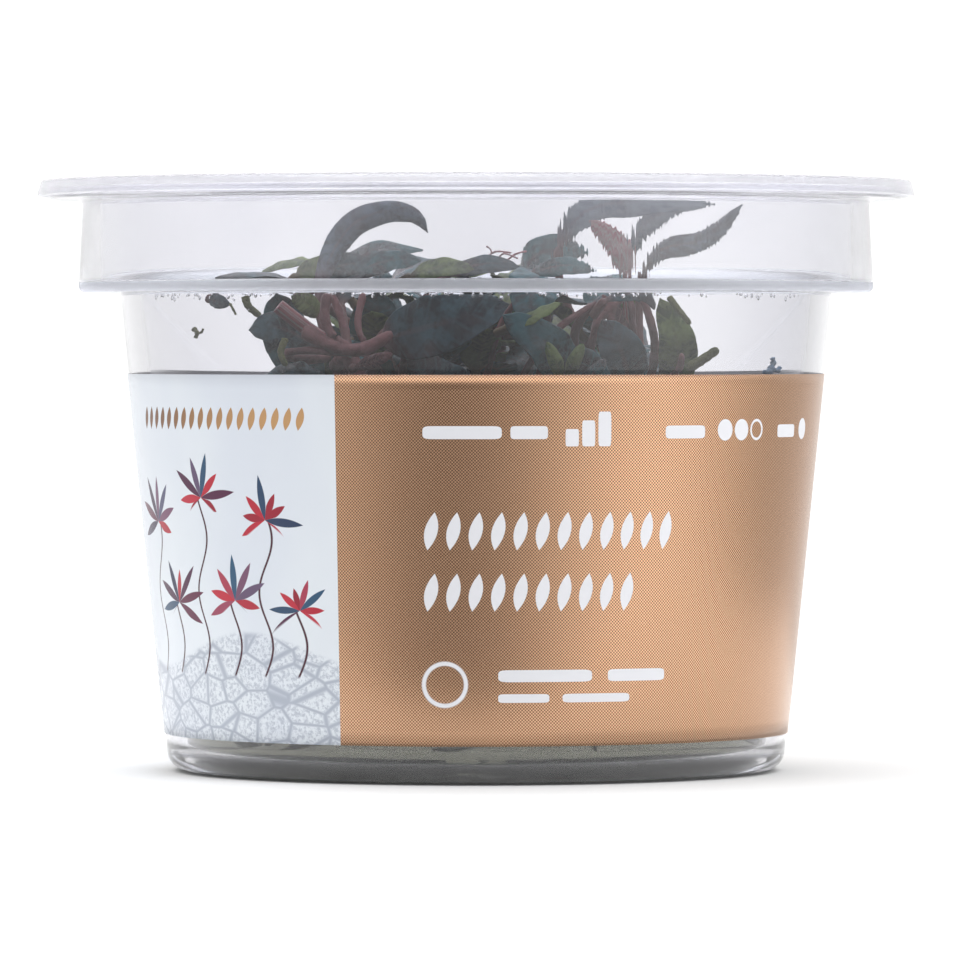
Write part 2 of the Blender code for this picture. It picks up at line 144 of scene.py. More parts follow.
RHIZOMES = (
    (1.5, ((-21, -5, 14.1), (-20, -11, 24), (-17, -16, 37), (-15.4, -19.4, 49.4))),
    (1.4, ((-4, 9, 14.1), (-5, 8, 25), (-7, 5, 36), (-8, 2, 46))),
    (1.4, ((4, -8, 14.1), (5, -12, 23), (7, -14, 33), (6.5, -14, 42))),
    (1.5, ((22, -3, 14.1), (21, -8, 24), (19, -11, 34), (18, -11, 44))),
    (1.3, ((9, 20, 14.1), (11, 19, 24), (13, 16, 35), (14, 13, 45))),
    (1.3, ((-17, 20, 14.1), (-16, 20, 22), (-14, 18, 32), (-13, 16, 40))),
)
STALKS = (
    (1.1, ((-14.8, -22.6, 50.4), (-14.4, -23.4, 49.2), (-13.8, -23.6, 47.6), (-13.2, -23, 45.6))),
    (0.9, ((-16.4, -21.2, 48.4), (-15.6, -22.4, 49.4), (-14.6, -22.8, 50.0), (-13.6, -22.9, 50.4))),
    (0.6, ((-15.0, -21.6, 50.2), (-15.2, -20.6, 52.4), (-15.9, -19.6, 54.8), (-16.8, -19, 57.0))),
    (0.7, ((-17.0, -22.4, 49.8), (-19.0, -23.6, 49.4), (-21.0, -24.4, 49.6), (-22.8, -24.6, 50.4))),
    (0.5, ((4.0, -16, 44), (6.4, -19, 49), (9.6, -20, 53), (14.0, -19, 56))),
    (0.5, ((14.5, -14, 45), (13.4, -17, 50), (14.6, -18, 54), (18.2, -17, 57.4))),
    (0.6, ((19.4, -14, 44), (20.8, -17, 49), (20.6, -18, 53), (19.0, -17, 58))),
    (0.5, ((18.6, -14, 46), (18.4, -17, 51), (18.2, -18, 55), (17.6, -16, 59))),
    (0.45, ((1.0, -14, 46), (2.4, -18, 52), (4.6, -19, 56), (8.0, -18, 58))),
    (0.45, ((-9.0, -12, 46), (-8.0, -16, 52), (-6.4, -17, 56), (-4.0, -16, 58.4))),
    (0.5, ((22.0, -15, 44), (22.4, -19, 46.6), (23.6, -21, 48.4), (23.8, -22, 50.0))),
    (0.95, ((-19.8, -27.6, 52.8), (-16.6, -28.4, 51.0), (-13.2, -28.8, 50.5), (-9.6, -29.0, 52.4))),
    (0.65, ((-17.0, -27.4, 57.0), (-17.4, -28.0, 54.4), (-16.4, -28.4, 52.0), (-14.4, -28.8, 50.8))),
    (0.45, ((-13.0, -26.0, 57.0), (-13.6, -27.2, 54.0), (-13.2, -28.0, 52.0), (-12.2, -28.4, 50.9))),
    (0.5, ((-22.6, -26.8, 50.0), (-19.6, -27.8, 50.4), (-16.8, -28.2, 50.2), (-13.8, -28.6, 50.0))),
)
ROOTS = (
    (0.45, ((-21.8, -28.2, 51.8), (-22.3, -28.7, 50.2), (-21.7, -29.2, 48.6))),
    (0.40, ((22.3, -23, 56.7), (23.4, -23.4, 55.2), (24.7, -24, 53.5))),
    (0.65, ((24.4, -23, 48.3), (26.0, -23.6, 49.3), (27.8, -24, 50.6))),
    (0.50, ((-26.8, -19, 56.8), (-26.4, -19.2, 55.6), (-25.0, -19.4, 54.4))),
    (0.55, ((-24, -6, 14.2), (-28, -8, 14.0), (-30.5, -13, 14.0), (-28.5, -18, 14.0))),
    (0.55, ((6, -11.5, 14.2), (9, -19, 14.0), (4, -27, 14.0), (-6, -32, 14.0))),
    (0.55, ((25, -3, 14.2), (30, 1, 14.0), (33, 8, 14.0), (29, 17, 14.0))),
    (0.55, ((-6, 12, 14.2), (-7, 20, 14.0), (-2, 28, 14.0), (6, 32, 14.0))),
)
# Small sprigs between the large leaves, as the leaves below; then bits that cling to the wall,
# roots that press against it in the gel, and a reddish fluff: radius, points
SPRIGS = (
    ("stem_brown", 2.4, 0.30, 0.5, (0, -1, 0), (
        (14.5, -16, 45), (17.0, -17.6, 49.6), (16.6, -18, 53.4), (14.8, -18, 57.0))),
    ("leaf_olive", 1.8, 0.20, 0.4, (0.2, -1, 0), (
        (10.0, -22.5, 46.4), (9.4, -25, 48.6), (8.2, -25.6, 51.4))),
    ("leaf_olive", 1.7, 0.20, 0.4, (-0.2, -1, 0), (
        (10.2, -22.8, 46.2), (11.2, -25.2, 48.8), (12.4, -25.6, 51.2))),
    ("leaf_teal", 1.7, 0.20, 0.4, (0, -1, 0.2), (
        (10.6, -22.8, 46.0), (13.2, -25.2, 47.4), (15.0, -25.4, 49.4))),
    ("stem_brown", 1.7, 0.15, 0.4, (0, -1, 0.2), (
        (-14.4, -25.4, 48.2), (-12.2, -27, 49.0), (-9.6, -27.4, 50.0))),
    ("leaf_olive", 2.2, 0.35, 0.4, (0, -0.6, 0.8), (
        (2.4, -20, 52.4), (5.6, -23, 53.8), (9.8, -23.6, 56.0))),
    ("leaf_dark", 1.8, 0.30, 0.4, (0, -0.8, 0.6), (
        (13.6, -19, 54.4), (15.4, -20, 56.4), (19.4, -20, 56.9), (20.8, -20, 55.2))),
    ("leaf_olive", 2.6, 0.25, 0.4, (0, -1, 0.3), (
        (-17.6, -20, 53.4), (-19.0, -21.5, 55.4), (-21.4, -22, 56.8))),
    ("leaf_dark", 1.8, 0.0, 0.4, (-0.7, -0.7, 0), (
        (-30.4, -25.2, 56.5), (-29.4, -26.4, 56.2), (-28.0, -27.8, 55.8))),
    ("leaf_teal", 2.8, 0.20, 0.5, (0, -1, 0.4), (
        (-15.5, -15, 57.5), (-13.5, -16, 59.0), (-10.0, -16.5, 60.2), (-6.4, -16.6, 60.2))),
    ("leaf_olive", 2.6, 0.20, 0.5, (0, -1, 0.5), (
        (-9.0, -15, 57.6), (-6.6, -17, 58.8), (-3.4, -17.6, 59.5), (-0.2, -17.4, 59.2))),
    ("leaf_dark", 2.4, 0.20, 0.5, (0, -1, 0.4), (
        (-4.5, -13, 57.8), (-2.0, -14.5, 59.0), (1.6, -15, 59.8), (5.2, -15, 59.4))),
    ("leaf_dark", 3.0, 0.20, 0.5, (0, -1, 0.3), (
        (-19.5, -14, 57.4), (-17.4, -15.5, 59.0), (-14.4, -16, 59.8), (-11.2, -16.2, 59.4))),
    ("leaf_olive", 2.6, 0.20, 0.5, (0, -1, 0.4), (
        (-22.0, -13, 57.6), (-20.4, -14.5, 58.9), (-17.6, -15, 59.8), (-14.8, -15, 60.2))),
    ("leaf_teal", 2.4, 0.20, 0.5, (0, -1, 0.4), (
        (5.0, -14, 57.8), (7.6, -15, 59.0), (10.8, -15.6, 59.6), (14.0, -15.6, 59.0))),
)
WALL_BITS = (
    (0.16, ((-28.0, -27.9, 55.9), (-27.6, -28.4, 55.2), (-27.3, -28.6, 54.6))),
    (0.28, ((-32.2, -22.4, 53.0), (-31.8, -23.0, 52.5), (-32.0, -22.9, 51.9))),
    (0.16, ((-31.9, -22.8, 52.4), (-31.3, -23.6, 52.6), (-31.1, -23.9, 53.0))),
    (0.35, ((-31, -13, 5.2), (-27, -20, 5.0), (-22, -25.6, 4.8))),
    (0.50, ((28.5, -17, 5.6), (31.5, -12, 4.2), (33, -8, 3.0))),
)
BLUE_BITS = (
    (0.34, ((33.0, -20.4, 47.8), (33.5, -19.6, 48.0), (34.0, -18.8, 48.4))),
    (0.30, ((33.6, -19.4, 48.2), (34.0, -18.8, 49.0), (33.9, -19.0, 49.6))),
    (0.26, ((33.9, -18.9, 48.2), (34.5, -17.8, 48.1), (34.8, -17.2, 48.5))),
)
FLUFF = (
    (0.13, ((0.8, -14, 60.0), (2.2, -14.4, 61.2), (4.2, -14.2, 61.1))),
    (0.12, ((1.4, -14, 60.0), (1.8, -14.2, 61.3), (1.2, -14.2, 61.9))),
    (0.12, ((2.4, -14, 59.8), (3.2, -14.6, 61.0), (5.0, -14.6, 60.4))),
    (0.14, ((3.2, -14, 59.8), (4.6, -14.2, 60.9), (6.0, -14.0, 61.3))),
)
# Leaves that are seen from the front: finish, width, length of stalk as a share, blade
# thickness, way the upper side faces, then the points of the midrib from foot to tip
FRONT_LEAVES = (
    ("leaf_dark", 3.1, 0.26, 2.0, (0, -1, 0.2), (
        (-16.6, -21.8, 50.8), (-17.6, -22, 52.6), (-18.3, -19, 56.6), (-17.0, -16, 61.0),
        (-14.5, -14, 64.4), (-10.8, -13, 65.9), (-7.4, -12.5, 65.5), (-5.6, -12.5, 63.4))),
    ("leaf_dark", 4.6, 0.15, 0.7, (0, -1, 0.25), (
        (-17.2, -21.4, 49.6), (-19.8, -23, 51.6), (-23, -24, 53.1), (-26.2, -23, 52.8))),
    ("stalk_red", 1.7, 1.0, 1.2, (0, -1, 0.5), (
        (-14.4, -24.4, 50.0), (-18.5, -26.4, 52.3), (-22.7, -27, 55.6))),
    ("leaf_teal", 4.4, 0.40, 0.7, (0.1, -0.4, 1), (
        (-14.9, -21.5, 50.9), (-15.4, -20, 53.5), (-15.6, -17, 57.2), (-12.2, -13, 61.2),
        (-6.2, -10.5, 61.4))),
    ("leaf_dark", 7.2, 0.22, 0.8, (0, -1, 0.2), (
        (-13.2, -21.6, 50.4), (-9.4, -25, 52.0), (-4, -28.4, 53.5), (3.9, -29.5, 55.8))),
    ("leaf_dark", 4.0, 0.15, 0.7, (0, -0.8, 0.6), (
        (-15.4, -22.6, 44.4), (-18.2, -26, 46.8), (-21.8, -27, 47.4), (-25.6, -25, 46.2))),
    ("leaf_teal", 6.4, 0.35, 0.7, (0, -1, 0), (
        (-9.6, -0.5, 47.5), (-11, -8, 50.5), (-11.8, -13, 53.4), (-11.4, -13.5, 57.4))),
    ("leaf_dark", 3.6, 0.45, 0.7, (0.1, -0.15, 1), (
        (-10, 1.6, 48.5), (-17, -3, 55), (-24, -8, 58.2), (-30.9, -10, 58.2))),
    ("leaf_olive", 3.2, 0.40, 0.7, (0, -0.3, 1), (
        (-10, 4, 47.5), (-15, 1, 56.4), (-20, -2, 59.8), (-25.6, -4, 58.8))),
    ("leaf_teal", 6.0, 0.25, 0.7, (0.2, -1, 0), (
        (-17.6, -12.5, 36), (-19.5, -12, 46), (-22.4, -13, 52.6), (-23.4, -15, 57.2))),
    ("leaf_teal", 6.0, 0.35, 0.7, (0, -0.4, 0.9), (
        (-8, 4, 48), (-11, 0, 53.6), (-9.0, -4, 58.4), (-3.6, -5, 60.0))),
    ("leaf_olive", 5.5, 0.35, 0.7, (0, -0.5, 1), (
        (-6, 2.6, 47.6), (-5.4, 0, 54.0), (-2.2, -4, 58.6), (4.0, -6, 59.2))),
    ("leaf_teal", 6.0, 0.45, 0.7, (0, -1, 0.2), (
        (6.9, -12.0, 43.2), (8.3, -12, 53), (7.6, -16, 58.0), (6.6, -20.5, 57), (6.0, -22.5, 53.2))),
    ("leaf_teal", 5.6, 0.20, 0.7, (0, -1, 0.3), (
        (8.4, -15.2, 43.0), (10.4, -19.4, 47.0), (8.2, -22.8, 51.0), (3.0, -24, 54.6))),
    ("leaf_dark", 5.6, 0.20, 0.7, (0, -1, 0), (
        (17.0, -13.2, 44.4), (17.6, -18, 47.0), (16.8, -21, 50.4), (14.6, -21.5, 54.0))),
    ("leaf_dark", 2.4, 0.50, 0.7, (0, -0.5, 1), (
        (15.8, -11.6, 44.6), (11.6, -15, 51), (13.5, -17, 55.6), (17.6, -16, 56.9),
        (20.8, -15, 55.8))),
    ("leaf_olive", 4.6, 0.20, 0.7, (0, -1, 0), (
        (20.0, -12.6, 44.6), (23.0, -16, 47), (23.4, -19, 51.5), (21.4, -19, 56.6))),
    ("leaf_dark", 4.2, 0.38, 0.7, (0.1, -0.8, 0.6), (
        (16.6, -8.4, 45), (10.5, -8, 56.4), (10.0, -9, 62.0), (13.8, -9.4, 66.2),
        (20.6, -9.2, 67.0), (28.4, -8.6, 66.9))),
    ("leaf_dark", 3.0, 0.35, 0.9, (0, -0.9, 0.6), (
        (19.8, -8.8, 45.6), (19.4, -7, 56), (21.6, -10, 61.0), (27.2, -12, 62.8), (31.4, -12.5, 67.0))),
    ("stalk_red", 3.0, 0.40, 0.8, (0, -1, 0), (
        (18.4, -8.6, 46.6), (17.8, -12, 56.6), (17.0, -13.4, 61.4), (13.4, -13.4, 65.0))),
    ("leaf_teal", 3.0, 0.45, 0.9, (0, -0.7, 0.7), (
        (15.6, 10.8, 46.6), (18.0, 4, 57.6), (20.2, 1, 63.8), (26.5, 0, 67.6))),
    ("leaf_teal", 5.2, 0.40, 0.7, (0, -0.8, 0.6), (
        (13.0, 10.6, 46.4), (6.0, 1, 54.6), (7.4, -3, 60.6), (13.4, -4, 61.0))),
    ("leaf_dark", 6.0, 0.20, 0.7, (0, -1, 0.3), (
        (4.8, -15.6, 41), (0, -22, 43.4), (-4, -26, 46.5), (-8, -28, 50.2))),
    ("leaf_teal", 5.0, 0.20, 0.7, (0, -1, 0.2), (
        (8.2, -14.6, 40), (11, -19, 43), (13.5, -22, 46.5), (12.2, -23, 51.0))),
)


def tone(red, green, blue):
    """A colour read from a screen, 0 to 255, as light."""
    def light(value):
        share = value / 255
        return share / 12.92 if share <= 0.04045 else ((share + 0.055) / 1.055) ** 2.4
    return (light(red), light(green), light(blue), 1.0)


class Graph:
    """Adds and wires the nodes of one tree."""

    def __init__(self, tree):
        self.tree = tree
        tree.nodes.clear()

    def add(self, kind, settings=None, **inputs):
        node = self.tree.nodes.new(kind)
        for name, value in (settings or {}).items():
            setattr(node, name, value)
        for name, value in inputs.items():
            self.put(node.inputs[name.replace("_", " ")], value)
        return node

    def put(self, socket, value):
        if isinstance(value, bpy.types.NodeSocket):
            self.tree.links.new(value, socket)
        else:
            socket.default_value = value

    def math(self, operation, *values, clamp=False):
        node = self.tree.nodes.new("ShaderNodeMath")
        node.operation = operation
        node.use_clamp = clamp
        for socket, value in zip(node.inputs, values):
            self.put(socket, value)
        return node.outputs[0]

    def mix(self, share, first, second, kind="MIX"):
        node = self.tree.nodes.new("ShaderNodeMix")
        node.data_type = "RGBA"
        node.blend_type = kind
        self.put(node.inputs[0], share)
        self.put(node.inputs[6], first)
        self.put(node.inputs[7], second)
        return node.outputs[2]

    def noise(self, place, scale, detail=3.0, rough=0.5):
        node = self.add("ShaderNodeTexNoise", Scale=scale, Detail=detail, Roughness=rough)
        self.put(node.inputs["Vector"], place)
        return node.outputs["Fac"]

    def step(self, value, low, high):
        """0 below low, 1 above high, and smooth between them."""
        node = self.add("ShaderNodeMapRange", {"interpolation_type": "SMOOTHSTEP"})
        for name, number in (("Value", value), ("From Min", low), ("From Max", high)):
            self.put(node.inputs[name], number)
        return node.outputs[0]

    def ramp(self, value, stops):
        node = self.tree.nodes.new("ShaderNodeValToRGB")
        self.put(node.inputs[0], value)
        band = node.color_ramp
        band.elements.remove(band.elements[1])
        band.elements[0].position, band.elements[0].color = stops[0]
        for place, colour in stops[1:]:
            band.elements.new(place).color = colour
        return node.outputs[0]

    def place(self, stretch=(1, 1, 1)):
        """The point on the piece in millimetres, stretched along its axes."""
        spot = self.add("ShaderNodeTexCoord").outputs["Object"]
        node = self.add("ShaderNodeVectorMath", {"operation": "MULTIPLY"})
        self.put(node.inputs[0], spot)
        self.put(node.inputs[1], tuple(1000 * value for value in stretch))
        return node.outputs[0]

    def attribute(self, name):
        return self.add("ShaderNodeAttribute", {"attribute_name": name}).outputs["Fac"]

    def bump(self, height, strength, distance):
        node = self.add("ShaderNodeBump", Strength=strength, Distance=distance)
        self.put(node.inputs["Height"], height)
        return node.outputs["Normal"]


def new_group(name, inputs, outputs):
    """A node group with named inputs and outputs. Returns it, its graph and both end nodes."""
    tree = bpy.data.node_groups.new(name, "ShaderNodeTree")
    graph = Graph(tree)
    for label, kind in inputs:
        tree.interface.new_socket(label, in_out="INPUT", socket_type="NodeSocket" + kind)
    for label, kind in outputs:
        tree.interface.new_socket(label, in_out="OUTPUT", socket_type="NodeSocket" + kind)
    return tree, graph, graph.add("NodeGroupInput"), graph.add("NodeGroupOutput")


def new_material(name):
    material = bpy.data.materials.new(name)
    material.use_nodes = True
    graph = Graph(material.node_tree)
    shader = graph.add("ShaderNodeBsdfPrincipled")
    surface = graph.add("ShaderNodeOutputMaterial")
    graph.put(surface.inputs["Surface"], shader.outputs[0])
    return material, graph, shader, surface


def use_group(graph, tree, **inputs):
    node = graph.add("ShaderNodeGroup", {"node_tree": tree})
    for name, value in inputs.items():
        graph.put(node.inputs[name.replace("_", " ")], value)
    return node


def let_lamps_through(graph, shader, surface, tint):
    """Clear plastic that lamps shine through, so that what is inside is lit."""
    path = graph.add("ShaderNodeLightPath")
    clear = graph.add("ShaderNodeBsdfTransparent", Color=tint)
    mix = graph.add("ShaderNodeMixShader")
    graph.put(mix.inputs[0], path.outputs["Is Shadow Ray"])
    graph.put(mix.inputs[1], shader.outputs[0])
    graph.put(mix.inputs[2], clear.outputs[0])
    graph.put(surface.inputs["Surface"], mix.outputs[0])


def moulding_group():
    """The skin of a clear moulding: cloudy tint, a duller rim, and draw marks up the wall."""
    tree, graph, ins, outs = new_group(
        "clear_moulding",
        (("Clear Tint", "Color"), ("Cloud Tint", "Color"), ("Gloss", "Float"),
         ("Dull Rim", "Float"), ("Marks", "Float")),
        (("Colour", "Color"), ("Roughness", "Float"), ("Height", "Float"), ("Fog", "Float")))
    cloud = graph.noise(graph.place((0.05, 0.05, 0.03)), 1.0, 1.0, 0.6)
    colour = graph.mix(
        graph.step(cloud, 0.35, 0.75), ins.outputs["Clear Tint"], ins.outputs["Cloud Tint"])
    turn, arc, height = round_place(graph)
    rim = graph.step(height, RIM_TOP - 1.2, RIM_TOP - 0.8)
    ledge = graph.math("MULTIPLY", graph.step(height, LEDGE_UNDER - 0.1, LEDGE_UNDER + 0.1),
                       graph.step(height, LEDGE_TOP + 0.1, LEDGE_TOP - 0.1))
    colour = graph.mix(graph.math("MULTIPLY", ledge, 0.8), colour, tone(240, 247, 255))
    fog = graph.step(height, LEDGE_TOP + 0.1, LEDGE_TOP + 0.9)
    foot = graph.step(height, LABEL_FOOT + 0.6, LABEL_FOOT - 0.2)
    fog = graph.math("MULTIPLY", graph.math("MAXIMUM", fog, ledge), 0.7)
    fog = graph.math("MAXIMUM", fog, graph.math("MULTIPLY", foot, 0.45))
    graph.put(outs.inputs["Fog"], fog)
    graph.put(outs.inputs["Colour"], colour)
    dull = graph.math("MULTIPLY", graph.math("ADD", rim, graph.math("MULTIPLY", ledge, 5.5)),
                      ins.outputs["Dull Rim"])
    graph.put(outs.inputs["Roughness"], graph.math("ADD", dull, ins.outputs["Gloss"]))
    marked = graph.math("MULTIPLY", graph.step(turn, 0.12, 0.2), graph.step(turn, 0.75, 0.62))
    marked = graph.math("MULTIPLY", marked, graph.step(height, LEDGE_TOP - 0.5, LEDGE_TOP + 0.5))
    marked = graph.math("MAXIMUM", marked, 0.12)
    streak = graph.noise(graph.place((1.1, 1.1, 0.03)), 2.2, 1.0, 0.5)
    graph.put(outs.inputs["Height"], graph.math(
        "MULTIPLY", graph.math("MULTIPLY", streak, marked), ins.outputs["Marks"]))
    return tree


def round_place(graph):
    """Where a point is round the cup: its turn from the front, the arc there, its height."""
    parts = graph.add("ShaderNodeSeparateXYZ")
    graph.put(parts.inputs[0], graph.place())
    x, y, height = parts.outputs
    turn = graph.math("ARCTAN2", x, graph.math("MULTIPLY", y, -1.0))
    radius = graph.math("ADD", graph.math("MULTIPLY", height, BODY_TAPER), BODY_FOOT_RADIUS)
    return turn, graph.math("MULTIPLY", turn, radius), height


def clear_plastic(name, moulding, tint, cloud, gloss, rim, marks):
    material, graph, shader, surface = new_material(name)
    skin = use_group(graph, moulding, Clear_Tint=tint, Cloud_Tint=cloud, Gloss=gloss,
                     Dull_Rim=rim, Marks=marks)
    graph.put(shader.inputs["Base Color"], skin.outputs["Colour"])
    graph.put(shader.inputs["Roughness"], skin.outputs["Roughness"])
    graph.put(shader.inputs["Normal"], graph.bump(skin.outputs["Height"], 0.5, 0.0001))
    graph.put(shader.inputs["Coat Weight"], skin.outputs["Fog"])
    shader.inputs["Coat Roughness"].default_value = 0.75
    shader.inputs["Coat IOR"].default_value = 2.0
    shader.inputs["Transmission Weight"].default_value = 0.994
    shader.inputs["IOR"].default_value = 1.49
    let_lamps_through(graph, shader, surface, tint)
    return material


def turned(name, profile, steps=TURN_STEPS, degrees=360.0):
    """A profile of (radius, height, corner radius), down its outer side, turned about Z."""
    points = rounded(profile)
    mesh = bpy.data.meshes.new(name)
    mesh.from_pydata([(r * MM, 0, z * MM) for r, z in points],
                     [(i, i + 1) for i in range(len(points) - 1)], [])
    piece = bpy.data.objects.new(name, mesh)
    bpy.context.collection.objects.link(piece)
    screw = piece.modifiers.new("turn", "SCREW")
    screw.angle = math.radians(degrees)
    screw.steps = screw.render_steps = steps
    screw.use_merge_vertices = True
    screw.merge_threshold = 0.00001
    screw.use_smooth_shade = True
    return piece


def rounded(profile):
    """The profile with an arc at each corner that has a radius."""
    corners = [(Vector((r, z)), size) for r, z, size in profile]
    points = []
    for i, (corner, size) in enumerate(corners):
        if not size:
            points.append(tuple(corner))
            continue
        back = (corners[i - 1][0] - corner).normalized()
        ahead = (corners[i + 1][0] - corner).normalized()
        half = back.angle(ahead) / 2
        centre = corner + (back + ahead).normalized() * (size / math.sin(half))
        start = corner + back * (size / math.tan(half)) - centre
        turn = start.angle_signed(corner + ahead * (size / math.tan(half)) - centre)
        for j in range(ARC_STEPS + 1):
            angle = -turn * j / ARC_STEPS
            points.append((
                centre.x + start.x * math.cos(angle) - start.y * math.sin(angle),
                centre.y + start.x * math.sin(angle) + start.y * math.cos(angle)))
    return points


def settle(piece, material, finish, *nodes):
    """Gives a piece its material, fixes it to the object and hides the CAD parts it stands for; finish is not used."""
    piece.data.materials.append(material)
    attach(piece, "root")
    if nodes:
        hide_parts(*nodes)
    return piece


def body_radius(height):
    return BODY_FOOT_RADIUS + (height - BODY_FOOT_HEIGHT) * BODY_TAPER


def inner_radius(height):
    if height > LEDGE_TOP:
        return BAND_INNER_RADIUS
    return body_radius(height) - WALL


def make_cup(material):
    profile = (
        (0, FLOOR_TOP, 0), (inner_radius(FLOOR_TOP), FLOOR_TOP, 2.6),
        (inner_radius(LEDGE_TOP), LEDGE_TOP, 0.9), (BAND_INNER_RADIUS, LEDGE_TOP, 0.2),
        (BAND_INNER_RADIUS, RIM_TOP, 0.25), (RIM_RADIUS, RIM_TOP, 0.3),
        (RIM_RADIUS, RIM_TOP - 0.85, 0.3), (BAND_TOP_RADIUS, RIM_TOP - 0.85, 0.8),
        (BAND_FOOT_RADIUS, LEDGE_UNDER, 0.8), (body_radius(LEDGE_UNDER), LEDGE_UNDER, 0.3),
        (body_radius(0), 0, 2.2), (FOOT_HOLLOW_RADIUS, 0, 0.3),
        (FOOT_HOLLOW_RADIUS - 0.8, FOOT_HOLLOW, 0.3), (0, FOOT_HOLLOW, 0),
    )
    settle(turned("cup_body", profile), material, "clear_plastic", "cup")


def make_lid(material):
    plug = BAND_INNER_RADIUS - GAP
    profile = (
        (0, LID_TOP, 0), (LID_RADIUS, LID_TOP, 0.35), (LIP_RADIUS, LIP_FOOT, 0.25),
        (RIM_RADIUS + 0.5, LIP_FOOT, 0.15), (RIM_RADIUS + 0.4, LID_UNDER, 0.15),
        (plug, LID_UNDER, 0.3), (plug - 0.1, PLUG_FOOT, 0.4),
        (plug - PLUG_WALL, PLUG_FOOT, 0.4), (plug - PLUG_WALL - 0.1, LID_UNDER, 0.4),
        (0, LID_UNDER, 0),
    )
    settle(turned("lid_plate", profile), material, "lid_plastic", "lid")


def make_gel(material):
    gap = 0.12
    profile = (
        (0, GEL_TOP, 0), (inner_radius(GEL_TOP) - 1.4, GEL_TOP, 1.2),
        (inner_radius(GEL_TOP + 0.7) - gap, GEL_TOP + 0.7, 0.1),
        (inner_radius(FLOOR_TOP) - gap, FLOOR_TOP + gap, 2.5), (0, FLOOR_TOP + gap, 0),
    )
    settle(turned("gel_disc", profile), material, "gel", "gel")


def make_label(material, back):
    """The printed film, close on the cup's wall, its ends a little apart at the back."""
    opening = math.radians(LABEL_OPENING_DEG / 2)
    rings = []
    for i in range(LABEL_RISES + 1):
        height = LABEL_FOOT + (LABEL_TOP - LABEL_FOOT) * i / LABEL_RISES
        ring = []
        for j in range(TURN_STEPS + 1):
            angle = math.pi / 2 + opening + (2 * math.pi - 2 * opening) * j / TURN_STEPS
            reach = body_radius(height) + LABEL_PROUD
            ring.append(Vector((reach * math.cos(angle), reach * math.sin(angle), height)))
        rings.append(ring)
    film = sheet_piece("label_film", rings)
    skin = film.modifiers.new("film", "SOLIDIFY")
    skin.thickness = LABEL_FILM * MM
    skin.offset = 1.0
    skin.material_offset = skin.material_offset_rim = 1
    settle(film, material, "label_print", "label")
    film.data.materials.append(back)


def sheet_piece(name, rows):
    """An open sheet through rows of points."""
    count = len(rows[0])
    faces = []
    for i in range(len(rows) - 1):
        for j in range(count - 1):
            a = i * count + j
            faces.append((a, a + 1, a + 1 + count, a + count))
    return mesh_piece(name, [point for row in rows for point in row], faces)


def mesh_piece(name, points, faces):
    mesh = bpy.data.meshes.new(name)
    mesh.from_pydata([Vector(point) * MM for point in points], [], faces)
    mesh.shade_smooth()
    piece = bpy.data.objects.new(name, mesh)
    bpy.context.collection.objects.link(piece)
    return piece


def along(points, share):
    """The point at a share of the way on a smooth curve through the points."""
    span = share * (len(points) - 1)
    i = min(int(span), len(points) - 2)
    u = span - i
    before, start, end, after = (
        points[max(i - 1, 0)], points[i], points[i + 1], points[min(i + 2, len(points) - 1)])
    bend = (2 * before - 5 * start + 4 * end - after) * u * u
    twist = (3 * start - before - 3 * end + after) * u ** 3
    return 0.5 * (2 * start + (end - before) * u + bend + twist)


def blade_share(share):
    """Width of a blade, from its foot at 0 to its tip at 1."""
    return math.sin(math.pi * min(share, 1.0) ** 0.85) ** 0.7


def leaf_frames(plan, shares):
    """For each share of a leaf: its midrib's place, its sideways and its upward way."""
    face = Vector(plan[3])
    spine = [Vector(point) for point in plan[4]]
    places = [along(spine, share) for share in shares]
    ways = [(along(spine, share + 0.03) - along(spine, share)).normalized() for share in shares]
    middle = min(range(len(shares)), key=lambda i: abs(shares[i] - FACE_SHARE))
    ups = {middle: (face - ways[middle] * face.dot(ways[middle])).normalized()}
    for i in [*range(middle + 1, len(shares)), *range(middle - 1, -1, -1)]:
        last = ups[i - 1] if i > middle else ups[i + 1]
        ups[i] = (last - ways[i] * last.dot(ways[i])).normalized()
    return [(places[i], ways[i].cross(ups[i]), ups[i]) for i in range(len(shares))]


def leaf_reach(plan, share):
    """Half the width and half the thickness of a leaf at a share of its length."""
    width, stalk, thick = plan[:3]
    if share <= stalk:
        reach = STALK_RADIUS + (0.3 if stalk == 1.0 else 0.0)
        return reach, reach
    blade = blade_share((share - stalk) / (1.0 - stalk))
    return max(width / 2 * blade, 0.35), max(thick / 2, 0.3) * (0.45 + 0.55 * blade)


def plain_leaf(plan, grow=0.0):
    """Rings of points of the plain solid leaf, as the CAD has it."""
    rings = []
    shares = [0.97 * i / SECTIONS for i in range(SECTIONS + 1)]
    for share, (here, side, up) in zip(shares, leaf_frames(plan, shares)):
        reach, half = leaf_reach(plan, share)
        reach += grow
        half += grow
        dish = 0.12 * max(reach - 1.0, 0.0)
        rings.append([
            here + side * (across * reach) + up * (lift * half + camber * dish)
            for across, lift, camber in (
                (1, 0, 1), (0.5, 0.87, 0.25), (-0.5, 0.87, 0.25),
                (-1, 0, 1), (-0.5, -0.87, 0.25), (0.5, -0.87, 0.25))])
    return rings


def loft(rings):
    """Points and faces of a loft through the rings, closed at both ends."""
    count = len(rings[0])
    points = [point for ring in rings for point in ring]
    faces = [tuple(reversed(range(count)))]
    for i in range(len(rings) - 1):
        for j in range(count):
            k = (j + 1) % count
            a, b = i * count + j, i * count + k
            faces.append((a, b, b + count, a + count))
    faces.append(tuple(range(len(points) - count, len(points))))
    return points, faces


def corner_of(plan):
    points = [point for ring in plain_leaf(plan) for point in ring]
    return Vector([min(point[axis] for point in points) for axis in range(3)])


